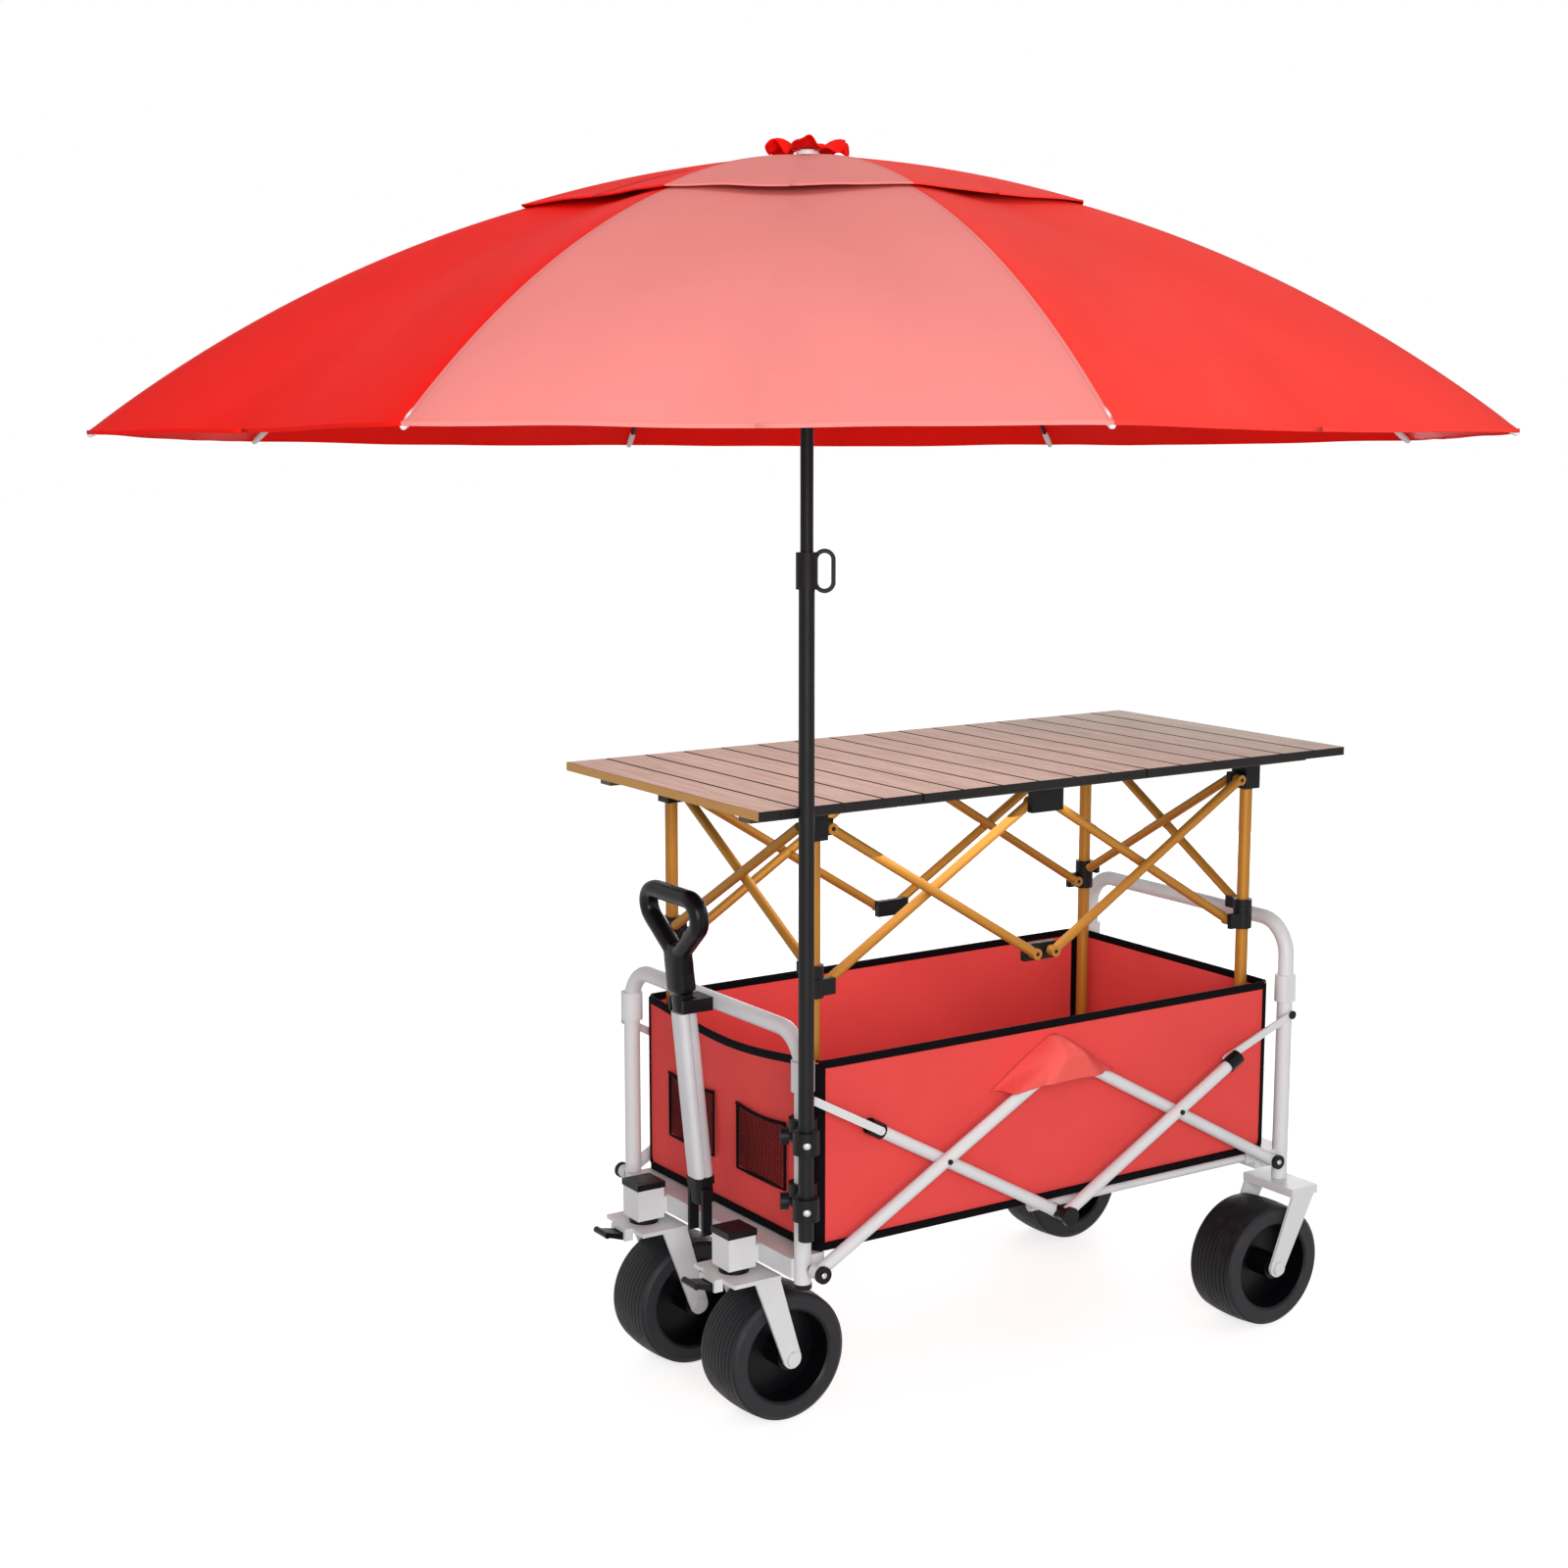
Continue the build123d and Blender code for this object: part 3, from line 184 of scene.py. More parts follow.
class Shader(Graph):
    def __init__(self, name, roughness=0.5, metallic=0.0, **constants):
        self.material = bpy.data.materials.new(name)
        self.material.use_nodes = True
        super().__init__(self.material.node_tree)
        self.principled = self.tree.nodes["Principled BSDF"]
        constants |= {"Roughness": roughness, "Metallic": metallic}
        for socket, value in constants.items():
            self.principled.inputs[socket.replace("_", " ")].default_value = value

    def feed(self, socket, value):
        self.tree.links.new(value.socket, self.principled.inputs[socket])

    def place(self, kind="Object"):
        return self.node("ShaderNodeTexCoord", output=kind)

    def axis(self, place, name):
        return self.node("ShaderNodeSeparateXYZ", {}, {0: place}, output=name)

    def noise(self, place, scale, detail=3.0, stretch=(1, 1, 1), roughness=0.5):
        stretched = self.node("ShaderNodeVectorMath", {"operation": "MULTIPLY"}, {0: place, 1: stretch})
        inputs = {"Vector": stretched, "Scale": scale, "Detail": detail, "Roughness": roughness}
        return self.node("ShaderNodeTexNoise", {}, inputs)

    def mix(self, factor, first, second):
        first, second = (c if isinstance(c, Value) else (*c, 1) for c in (first, second))
        inputs = {0: factor, 6: first, 7: second}
        return self.node("ShaderNodeMix", {"data_type": "RGBA"}, inputs, output=2)

    def ramp(self, value, low, high):
        inputs = {"Value": value, "From Min": low, "From Max": high}
        return self.node("ShaderNodeMapRange", {"clamp": True}, inputs)

    def bump(self, height, strength, distance):
        inputs = {"Height": height, "Strength": strength, "Distance": distance}
        self.feed("Normal", self.node("ShaderNodeBump", {}, inputs))


def toned(colour, share, lift=0.0):
    return tuple(c * share + lift for c in colour)


print("a darker grey", toned((0.6, 0.6, 0.6), 0.5))

# %% [markdown]
# ## White ground
# The photograph has a plain white ground and soft light from all sides. The world gives that even light at
# half strength. Rays from the camera, and rays that a shiny or clear surface sends on, see pure white
# instead: the Light Path node tells them apart. The floor has a glow that only those rays see, and it still
# takes the cart's shadow.

# %% World and floor
soft_level = 0.50
floor_glow = 0.70
white_light = (1, 1, 1, 1)
world = bpy.data.worlds.new("studio")
bpy.context.scene.world = world
world.use_nodes = True
sky = Graph(world.node_tree)
soft = sky.tree.nodes["Background"]
soft.inputs["Color"].default_value = white_light
soft.inputs["Strength"].default_value = soft_level
white = sky.node("ShaderNodeBackground", {}, {"Color": white_light, "Strength": 1.0})
lights = {0: sky.shown_rays(), 1: Value(sky, soft.outputs[0]), 2: white}
chosen = sky.node("ShaderNodeMixShader", {}, lights)
sky.tree.links.new(chosen.socket, sky.tree.nodes["World Output"].inputs["Surface"])

ground = Shader("floor_white", roughness=0.9, Emission_Strength=floor_glow)
ground.feed("Base Color", ground.mix(ground.noise(ground.place(), 2.0), (0.60,) * 3, (0.62,) * 3))
ground.feed("Emission Color", ground.mix(ground.shown_rays(), (0, 0, 0), (1, 1, 1)))
bpy.ops.mesh.primitive_plane_add(size=60, location=(0, 0, -0.0005))
floor = bpy.context.object
floor.name = "floor"
floor.data.materials.append(ground.material)
print("world strength", soft_level, "floor", floor.name)

# %% [markdown]
# ## Lamps
# A large disc of light near the camera is the key softbox, a second one hangs above, and a low one behind
# lifts the far side. The cloth shades and tints the table, and the table shades the tub, so two small lamps
# shine down under them. All lamps are hidden from camera rays. Light linking lets the lamp under the canopy
# light the table top alone, so it leaves no edge of light on the cloth as the umbrella closes.

# %% Lamps
def lamp(name, place, target, size, power):
    data = bpy.data.lights.new(name, "AREA")
    data.shape = "DISK"
    data.size = size
    data.energy = power
    made = bpy.data.objects.new(name, data)
    made.location = place
    aim = Vector(target) - Vector(place)
    made.rotation_euler = aim.to_track_quat("-Z", "Y").to_euler()
    made.visible_camera = False
    bpy.context.collection.objects.link(made)
    return made


lamp("key", place=(-2.6, -4.5, 1.9), target=(-0.2, 0, 0.8), size=2.6, power=176)
lamp("top", place=(-1.0, -0.6, 4.6), target=(-0.3, -0.2, 0.8), size=3.0, power=24)
lamp("rim", place=(3.2, 3.2, 1.0), target=(0, 0, 0.45), size=2.4, power=45)
table_lamp = lamp("under_canopy", place=(-0.38, -0.14, 1.46), target=(-0.38, -0.14, 0.9), size=1.1, power=3.2)
lit = bpy.data.collections.new("lit_by_table_lamp")
table_lamp.light_linking.receiver_collection = lit
panel_names = ("top_panel_front", "top_panel_middle", "top_panel_rear")
for name in panel_names:
    lit.objects.link(nodes[name])
lamp("under_table", place=(-0.16, -0.10, 0.87), target=(-0.10, -0.02, 0.3), size=0.5, power=1.5)

# %% [markdown]
# ## Painted and moulded materials
# Each material here starts from the object's own coordinates in metres, so a scale of 900 in a noise node
# means grains about a millimetre across. Powder coat has a slight orange peel and faint grime. Moulded
# plastic has a fine grain and a little polish where hands rub it. The anodised tubes are metal with fine
# drawing lines along their length, so their noise is stretched along one axis.

# %% Hard materials
def powder_coat(name, colour, roughness=0.36, specular=0.4):
    s = Shader(name, roughness, Specular_IOR_Level=specular)
    place = s.place()
    peel = s.noise(place, 650, 2)
    grime = s.ramp(s.noise(place, 9, 5), 0.56, 0.82)
    s.feed("Base Color", s.mix(grime * 0.55, colour, toned(colour, 0.80)))
    s.feed("Roughness", s.noise(place, 40, 4) * 0.22 + (roughness - 0.1))
    s.bump(peel, 0.10, 0.0006)
    return s.material


def moulded(name, colour, roughness=0.45, grain=0.25):
    s = Shader(name, roughness, Specular_IOR_Level=0.16)
    place = s.place()
    rub = s.ramp(s.noise(place, 14, 5), 0.5, 0.8)
    s.feed("Base Color", s.mix(rub * 0.5, colour, toned(colour, 1.5, 0.002)))
    s.feed("Roughness", s.noise(place, 60, 3) * 0.25 + (roughness - 0.12))
    s.bump(s.noise(place, 1400, 2), grain, 0.0004)
    return s.material


def drawn_metal(name, colour, roughness, along, metallic=1.0):
    s = Shader(name, roughness, metallic, Specular_IOR_Level=0.2)
    place = s.place()
    lines = s.noise(place, 700, 3, along)
    cloud = s.noise(place, 12, 4)
    s.feed("Base Color", s.mix(cloud * 0.6 + lines * 0.25, colour, toned(colour, 0.74)))
    s.feed("Roughness", lines * 0.2 + (roughness - 0.08))
    s.bump(lines, 0.08, 0.0003)
    return s.material


def dress(name, *materials):
    """Give a CAD node these material slots and return its mesh."""
    mesh = nodes[name].data
    mesh.materials.clear()
    for material in materials:
        mesh.materials.append(material)
    return mesh


white_paint = powder_coat("white_powder_coat", (0.66, 0.67, 0.68))
white_plastic = moulded("white_plastic", (0.66, 0.66, 0.67), 0.4, 0.1)
pale_plastic = moulded("pale_plastic", (0.72, 0.70, 0.69), 0.3, 0.05)
black_plastic = moulded("black_plastic", (0.005, 0.005, 0.006))
black_gloss = moulded("black_gloss", (0.004, 0.004, 0.005), 0.28, 0.08)
pole_black = powder_coat("black_pole", (0.0065, 0.0062, 0.0070), 0.48, 0.18)
rib_black = powder_coat("black_rib", (0.006, 0.006, 0.006), 0.45, 0.18)
gold_upright = drawn_metal("gold_upright", (0.47, 0.205, 0.030), 0.46, (1, 1, 0.02), 0.30)
gold_slanted = drawn_metal("gold_slanted", (0.48, 0.210, 0.032), 0.46, (0.25, 1, 0.25), 0.30)
handle_silver = drawn_metal("handle_silver", (0.66, 0.665, 0.685), 0.52, (1, 1, 0.03), 0.22)
steel = drawn_metal("bright_steel", (0.56, 0.56, 0.57), 0.34, (1, 1, 1))
print("materials so far", len(bpy.data.materials))

# %% [markdown]
# ## Rubber
# The wheels are light plastic rings with a ribbed tread. The ribs are real geometry, so the shader only
# adds fine scuffing and thin rings on the paler side wall. The radius from the axle decides which part of
# the wheel a point is on, and each wheel passes in its own axle.

# %% Tyre material
tyre_inner = 0.0715
ring_turn = 2094.0


def tyre_material(name, axle):
    s = Shader(name, 0.62, Specular_IOR_Level=0.2)
    place = s.place()
    across = s.axis(place, "X") - axle[0]
    upward = s.axis(place, "Z") - axle[2]
    radius = (across * across + upward * upward) ** 0.5
    rings = (radius * ring_turn).sine() * 0.5 + 0.5
    wall = s.ramp(radius, 0.073, 0.0745) * (1 - s.ramp(radius, 0.0925, 0.0945))
    scuff = s.ramp(s.noise(place, 55, 6), 0.45, 0.75)
    worn = s.mix(scuff * 0.7, (0.010, 0.010, 0.012), (0.022, 0.022, 0.025))
    s.feed("Base Color", s.mix(wall * 0.8, worn, (0.024, 0.024, 0.027)))
    s.feed("Roughness", scuff * 0.2 + 0.5)
    s.bump(rings * wall * 0.6 + s.noise(place, 500, 3), 0.22, 0.0007)
    return s.material


hub_black = moulded("hub_black", (0.002, 0.002, 0.003), 0.36, 0.15)
for name in ("wheel_front_left", "wheel_front_right", "wheel_rear_left", "wheel_rear_right"):
    axle = [(a + b) / 2 for a, b in zip(*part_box(name))]
    mesh = dress(name, tyre_material("tyre_" + name, axle), hub_black)
    for face in mesh.polygons:
        radius = hypot(face.center.x - axle[0], face.center.z - axle[2])
        face.material_index = 0 if radius > tyre_inner else 1
print("tyres painted outside a radius of", tyre_inner)

# %% [markdown]
# ## The slatted top
# Each panel is one CAD node, so its faces are sorted by where they lie: those that look up are printed wood
# grain, the ends of the table are bare gold metal, and everything below or between the slats is dark. The
# grain runs along each slat, so its noise is stretched along Y, and a White Noise node fed with the slat's
# number gives each slat its own tone.

# %% Slat materials
slat_start, slat_pitch, slat_thick = -0.56, 0.07, 0.0135


def slat_material():
    s = Shader("slat_grain", 0.62, Specular_IOR_Level=0.05)
    place = s.place()
    steps = (s.axis(place, "X") - slat_start) / slat_pitch
    number = steps.whole()
    to_edge = 0.5 - (steps - number - 0.5).size()
    tone = s.node("ShaderNodeTexWhiteNoise", {"noise_dimensions": "1D"}, {"W": number})
    offset = s.node("ShaderNodeCombineXYZ", {}, {1: tone})
    shifted = s.node("ShaderNodeVectorMath", {"operation": "ADD"}, {0: place, 1: offset})
    fine = s.noise(shifted, 420, 4, (1, 0.018, 1), 0.65)
    broad = s.noise(shifted, 75, 3, (1, 0.06, 1))
    pores = s.ramp(s.noise(shifted, 900, 2, (1, 0.03, 1)), 0.60, 0.72)
    base = s.mix(broad * 0.7 + tone * 0.3, (0.56, 0.495, 0.425), (0.68, 0.605, 0.520))
    lined = s.mix(s.ramp(fine, 0.42, 0.66), base, (0.43, 0.345, 0.275))
    grained = s.mix(pores * 0.5, lined, (0.30, 0.19, 0.14))
    # Painted shade: a dark band along both edges of each slat's top stands in for the shaded gap between
    # slats.
    s.feed("Base Color", s.mix(s.ramp(to_edge, 0.036, 0.046), (0.020, 0.014, 0.011), grained))
    s.feed("Roughness", fine * 0.2 + 0.54)
    s.bump(fine, 0.10, 0.0004)
    return s.material


slat_top = slat_material()
slat_dark = moulded("slat_dark", (0.012, 0.011, 0.011), 0.5, 0.1)
rail_brown = powder_coat("rail_brown", (0.060, 0.032, 0.016), 0.4)
edge_gold = drawn_metal("edge_gold", (0.50, 0.27, 0.075), 0.44, (1, 0.02, 1), 0.5)
grain, dark, rail, gold = range(4)
front_low, front_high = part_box("top_panel_front")
table_x = (front_low[0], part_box("top_panel_rear")[1][0])
table_top = front_high[2]
for name in panel_names:
    mesh = dress(name, slat_top, slat_dark, rail_brown, edge_gold)
    for face in mesh.polygons:
        c, n = face.center, face.normal
        at_end = min(abs(c.x - table_x[0]), abs(c.x - table_x[1])) < 0.002
        if n.z > 0.9 and c.z > table_top - 0.001:
            face.material_index = grain
        elif at_end and abs(n.x) > 0.9:
            face.material_index = gold
        else:
            face.material_index = rail if c.z < table_top - slat_thick else dark
print("table runs from", round(table_x[0], 3), "to", round(table_x[1], 3))

# %% [markdown]
# ## Meshes from code
# `piece` turns points and faces into an object that rides on a body. `sheet_grid` lays a grid of points
# given by a function of two numbers from 0 to 1, which suits cloth. `sweep` drags a flat outline along a
# path, which suits bindings and loops, and `ring_faces` joins the rings of a sweep or a loft.

# %% Mesh builders
def piece(name, points, faces, material, body, smooth=True, flat=None):
    mesh = bpy.data.meshes.new(name)
    mesh.from_pydata([tuple(p) for p in points], [], faces)
    mesh.materials.append(material)
    if flat:
        layer = mesh.uv_layers.new(name="UVMap")
        for loop in mesh.loops:
            layer.data[loop.index].uv = flat[loop.vertex_index]
    made = bpy.data.objects.new(name, mesh)
    bpy.context.collection.objects.link(made)
    fix = bmesh.new()
    fix.from_mesh(mesh)
    bmesh.ops.recalc_face_normals(fix, faces=fix.faces)
    fix.to_mesh(mesh)
    fix.free()
    for face in mesh.polygons:
        face.use_smooth = smooth
    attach(made, body)
    return made


def thicken(made, thickness, offset=0.0):
    solid = made.modifiers.new("thickness", "SOLIDIFY")
    solid.thickness = thickness
    solid.offset = offset


def sheet_grid(name, place, across, along, material, body, thickness, flat=None):
    shares = [(i / across, j / along) for j in range(along + 1) for i in range(across + 1)]
    points = [place(u, v) for u, v in shares]
    faces = []
    for j in range(along):
        for i in range(across):
            a = j * (across + 1) + i
            faces.append((a, a + 1, a + across + 2, a + across + 1))
    laid_out = [flat(u, v) for u, v in shares] if flat else shares
    made = piece(name, points, faces, material, body, flat=laid_out)
    if thickness:
        thicken(made, thickness)
    return made


def circle(count):
    turns = [2 * pi * i / count for i in range(count)]
    return [(cos(a), sin(a)) for a in turns]


def ring_faces(rows, count, closed=False, first=True, last=True):
    """Quads between rings of points, and a face over the first and the last ring of an open run."""
    faces = []
    for j in range(rows if closed else rows - 1):
        low, high = j * count, (j + 1) % rows * count
        for i in range(count):
            k = (i + 1) % count
            faces.append((low + i, low + k, high + k, high + i))
    if first and not closed:
        faces.append(tuple(range(count))[::-1])
    if last and not closed:
        faces.append(tuple(range((rows - 1) * count, rows * count)))
    return faces


def swept(path, outline, up, closed):
    path = [Vector(p) for p in path]
    end = len(path) - 1
    points = []
    for k, p in enumerate(path):
        before = path[k - 1] if k or closed else p
        after = path[(k + 1) % len(path)] if k < end or closed else p
        run = (after - before).normalized()
        side = run.cross(Vector(up)).normalized()
        top = side.cross(run)
        points += [p + side * a + top * b for a, b in outline]
    return points, ring_faces(len(path), len(outline), closed)


def sweep(name, path, outline, material, body, up=(0, 0, 1), closed=False, smooth=True):
    points, faces = swept(path, outline, up, closed)
    return piece(name, points, faces, material, body, smooth)


def rounded(width, height, corner, steps=3):
    """The outline of a rectangle with round corners."""
    outline = []
    for cx, cy, start in ((1, 1, 0), (-1, 1, 90), (-1, -1, 180), (1, -1, 270)):
        for k in range(steps + 1):
            a = radians(start + 90 * k / steps)
            x = cx * (width / 2 - corner) + corner * cos(a)
            y = cy * (height / 2 - corner) + corner * sin(a)
            outline.append((x, y))
    return outline


print("outline points for a binding", len(rounded(0.006, 0.017, 0.002)))

# %% [markdown]
# ## Cloth materials
# The tub is a coated polyester with a tight plain weave. Two sine waves of about a millimetre give the
# threads, and a broad noise gives the soft unevenness of a panel that has been folded many times. The
# binding is black webbing with a stronger rib. A little sheen lets the tub catch light at grazing angles.
# The flaps are the same cloth with painted light and shade: paler in the middle, where they stand out
# from the tub, and a darker red towards their sides.

# %% Tub cloth and webbing
def cloth_material(name, colour, thread, sheen=0.05, depth=0.16, specular=0.2):
    s = Shader(name, 0.68, Sheen_Weight=sheen, Sheen_Roughness=0.4, Specular_IOR_Level=specular)
    place = s.place()
    x, y, z = (s.axis(place, a) for a in "XYZ")
    turn = 2 * pi / thread
    weave = ((x + y) * turn).sine() * (z * turn).sine() * 0.5 + 0.5
    fold = s.noise(place, 7, 5)
    patch = s.noise(place, 2.2, 3)
    worn = s.ramp(fold * 0.6 + patch * 0.4, 0.38, 0.68)
    s.feed("Base Color", s.mix(worn * 0.55 + weave * 0.12, colour, toned(colour, 0.80)))
    s.feed("Roughness", fold * 0.2 + 0.56)
    s.bump(weave * 0.5 + fold * 1.6, depth, 0.0012)
    return s.material


def flap_material():
    s = Shader("flap_cloth", 0.66, Specular_IOR_Level=0.2)
    edge = (s.axis(s.place("UV"), "X") * 2 - 1).size()
    weave = s.noise(s.place(), 700, 2)
    # Painted light and shade: the middle of the flap is painted paler, its sides a darker red.
    tone = s.mix(s.ramp(edge, 0.45, 0.98), (0.80, 0.112, 0.094), (0.75, 0.068, 0.062))
    s.feed("Base Color", s.mix(weave * 0.25, tone, (0.62, 0.062, 0.055)))
    s.bump(weave, 0.12, 0.0008)
    return s.material


tub_red = cloth_material("tub_cloth", (0.77, 0.069, 0.064), thread=0.0014)
tub_flap = flap_material()
webbing = cloth_material("black_webbing", (0.004, 0.003, 0.004), 0.0022, sheen=0.0, depth=0.4, specular=0.04)
net_black = cloth_material("net_strand", (0.006, 0.004, 0.004), 0.001, sheen=0.0, specular=0.04)
print("cloth materials", [m.name for m in (tub_red, tub_flap, webbing, net_black)])

# %% [markdown]
# ## The tub as one sewn shell
# A cloth tub is one bag, so it is lofted as one mesh: rings of points run round a rectangle with soft
# corners, from the rim down to the floor, and then shrink to the middle of the floor. Between the corners
# the cloth hangs a few millimetres slack, the rim of the front panel sags, and Perlin noise from mathutils,
# the same on every run, adds shallow creases.

# %% Tub shell
half_x, half_y, corner = 0.4405, 0.2375, 0.014
floor_z, rim_z = 0.2770, 0.557
front_sag = 0.018
wall_rows, floor_rows = 26, 8


def round_the_tub(step=0.0105):
    """Points round the tub as (x, y, outward x, outward y, share of the way along this side)."""
    loop = []
    sides = ((1, -1, -90, half_y), (1, 1, 0, half_x), (-1, 1, 90, half_y), (-1, -1, 180, half_x))
    for sx, sy, start, half in sides:
        for k in range(5):
            a = radians(start + 22.5 * k)
            nx, ny = cos(a), sin(a)
            x = sx * (half_x - corner) + corner * nx
            y = sy * (half_y - corner) + corner * ny
            loop.append((x, y, nx, ny, 0.0))
        length = 2 * (half - corner)
        count = int(length / step)
        for k in range(1, count):
            go = length * k / count
            loop.append((x - ny * go, y + nx * go, nx, ny, k / count))
    return loop


def slack(x, y, z, share, height):
    calm = sin(pi * share) * sin(pi * min(1, max(0, height)))
    broad = noise.noise(Vector((x * 6, y * 6, z * 9))) * 0.0036
    fine = noise.noise(Vector((x * 15 + z * 9, y * 15, z * 12))) * 0.0014
    return max(-0.008, min(0.0022, calm * (broad + fine - 0.0022)))


def rim_sag(nx, share):
    """The rim of the front panel hangs lower between its corners."""
    return front_sag * sin(pi * share) ** 1.3 if nx < -0.99 else 0.0


def tub_part(made):
    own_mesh(made)


ring = round_the_tub()
points = []
for j in range(wall_rows + 1):
    v = j / wall_rows
    z = rim_z + (floor_z - rim_z) * v
    tuck = 0.006 * max(0, v - 0.94) / 0.06
    for x, y, nx, ny, share in ring:
        d = slack(x, y, z, share, v) - tuck
        points.append((x + nx * d, y + ny * d, z - rim_sag(nx, share) * (1 - v) ** 2))
for j in range(1, floor_rows + 1):
    shrink = 1 - j / (floor_rows + 0.5)
    for x, y, nx, ny, share in ring:
        sag = 0.0010 * noise.noise(Vector((x * shrink * 7, y * shrink * 7, 0.5)))
        points.append((x * shrink - nx * 0.006, y * shrink - ny * 0.006, floor_z - 0.0004 + abs(sag)))
faces = ring_faces(wall_rows + floor_rows + 1, len(ring), first=False)
tub = piece("tub_cloth", points, faces, tub_red, "front_end")
thicken(tub, 0.0024)
tub_part(tub)
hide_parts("tub")

# %% [markdown]
# ## Binding
# Black webbing is folded over the rim, down the four corners and round the floor edge. Each run is an
# outline swept along its path. A corner strip is bent round its corner, so its outline is an arc with
# some thickness.

# %% Tub binding
def ring_path(z, out, sag=0.0):
    path = []
    for x, y, nx, ny, share in ring[::3]:
        path.append((x + nx * out, y + ny * out, z - sag * rim_sag(nx, share)))
    return path


def corner_outline():
    """A strip of webbing bent round a vertical corner, with the sharp corner at (0, 0)."""
    outline = []
    for radius, turns in ((corner + 0.0026, range(-4, 5)), (corner - 0.0016, range(4, -5, -1))):
        for k in turns:
            a = radians(45 * k / 4)
            outline.append((radius * sin(a), radius * cos(a) - corner * sqrt(2)))
    return outline


both_sides = ((-1, "left"), (1, "right"))
rim_run, rim_tape = ring_path(rim_z - 0.004, 0.0, sag=1.0), rounded(0.0058, 0.0125, 0.0024)
floor_run, floor_tape = ring_path(floor_z + 0.006, 0.0006), rounded(0.0052, 0.0120, 0.0022)
tub_part(sweep("rim_binding", rim_run, rim_tape, webbing, "front_end", closed=True))
tub_part(sweep("floor_binding", floor_run, floor_tape, webbing, "front_end", closed=True))
for sx, end in ((-1, "front"), (1, "rear")):
    for sy, side in both_sides:
        run = [(sx * half_x, sy * half_y, floor_z + 0.010 + k * 0.0268) for k in range(11)]
        name = f"corner_binding_{end}_{side}"
        tub_part(sweep(name, run, corner_outline(), webbing, "front_end", up=(sx, sy, 0)))
print("rim binding steps", len(rim_run))

# %% [markdown]
# ## Net pockets
# Two flat pockets of black net are sewn on the front panel. A net could be a see-through texture, but real
# strands look right from near by: a Wireframe modifier turns the edges of a grid into strands. Webbing hems
# three sides, and an elastic droops along the mouth.

# %% Net pockets
pocket_foot, pocket_wide, pocket_tall, pocket_from_middle = 0.350, 0.128, 0.100, 0.098
hem_turns = ((-1, 1), (-1, 0.5), (-1, 0), (-0.5, 0), (0, 0), (0.5, 0), (1, 0), (1, 0.5), (1, 1))
net_x, hem_x, mouth_x = -0.4438, -0.4445, -0.4452
net_grid = (34, 26)
outward = (-1, 0, 0)


def net_round(middle):
    def place(u, v):
        bulge = 0.0035 * sin(pi * u) * sin(pi * min(1, 0.15 + v * 0.8))
        y = middle + (u - 0.5) * (pocket_wide - 0.008)
        return (net_x - bulge, y, pocket_foot + 0.004 + v * (pocket_tall - 0.008))

    return place


def mouth_point(share, middle):
    droop = sin(pi * share)
    y = middle + (share - 0.5) * (pocket_wide + 0.004)
    return (mouth_x - 0.002 * droop, y, pocket_foot + pocket_tall - 0.004 * droop)


for way, side in both_sides:
    middle = way * pocket_from_middle
    net = sheet_grid("pocket_net_" + side, net_round(middle), *net_grid, net_black, "front_end", thickness=0)
    strands = net.modifiers.new("strands", "WIREFRAME")
    strands.thickness = 0.0010
    hem_run = [(hem_x, middle + a * pocket_wide / 2, pocket_foot + b * pocket_tall) for a, b in hem_turns]
    hem_tape = rounded(0.0050, 0.0028, 0.001)
    hem = sweep("pocket_hem_" + side, hem_run, hem_tape, webbing, "front_end", up=outward, smooth=False)
    mouth_run = [mouth_point(k / 12, middle) for k in range(13)]
    mouth_tape = rounded(0.0050, 0.0032, 0.0012)
    elastic = sweep("pocket_elastic_" + side, mouth_run, mouth_tape, webbing, "front_end", up=outward)
print("net strands", len(net.data.edges), "in each pocket")

# %% [markdown]
# ## Flaps over the link joints
# On each side a flap of the tub's cloth is sewn below the rim and covers the middle joint of the links. It
# is narrow at the seam, widens downwards and stands out over the joint. A cloth simulation could drape it,
# but a formula gives the same form on every run: `drape` places the cloth, `over_links` lifts it onto the
# two links under it, and a Smooth modifier, moved before the thickness, softens it.

# %% Flaps
mid_joint_x, mid_joint_z = -0.0075, 0.512
link_lean = atan2(0.125, 0.22675)
link_cover = 0.0132
link_planes = ((-1, 0.2725), (1, 0.2525))
flap_seam, flap_spread, flap_drop = 0.005, 0.118, 0.058
flap_y, flap_stand = 0.2398, 0.0530
flap_grid = (84, 36)


def over_links(x, y, z):
    """Cloth at (x, z) lies at y or, where a side link passes under it, on that link."""
    for way, plane in link_planes:
        level, height = (x - mid_joint_x) * way, z - mid_joint_z
        along = level * cos(link_lean) - height * sin(link_lean)
        off = level * sin(link_lean) + height * cos(link_lean)
        if along > -link_cover and abs(off) < link_cover:
            y = max(y, plane + sqrt(link_cover**2 - off**2))
    return y


def drape(way):
    def place(u, v):
        a = 2 * u - 1
        half = flap_seam + flap_spread * v**0.9
        rise = 1 - (1 - min(1, v / 0.42)) ** 2
        edge = max(0, (abs(a) - 0.30) / 0.70)
        swell = 1 - edge * edge * (3 - 2 * edge)
        x = mid_joint_x + a * half
        z = rim_z - 0.020 - v * (flap_drop + 0.015 * a * a)
        return (x, way * over_links(x, flap_y + flap_stand * rise * swell, z), z)

    return place


def cloth_area(made, digits):
    return round(sum(face.area for face in made.data.polygons), digits)


for way, side in both_sides:
    flap = sheet_grid("tub_flap_" + side, drape(way), *flap_grid, tub_flap, "front_end", thickness=0.0014)
    settle = flap.modifiers.new("settle", "SMOOTH")
    settle.iterations = 2
    flap.modifiers.move(1, 0)
    tub_part(flap)
print("flap area", cloth_area(flap, 4))

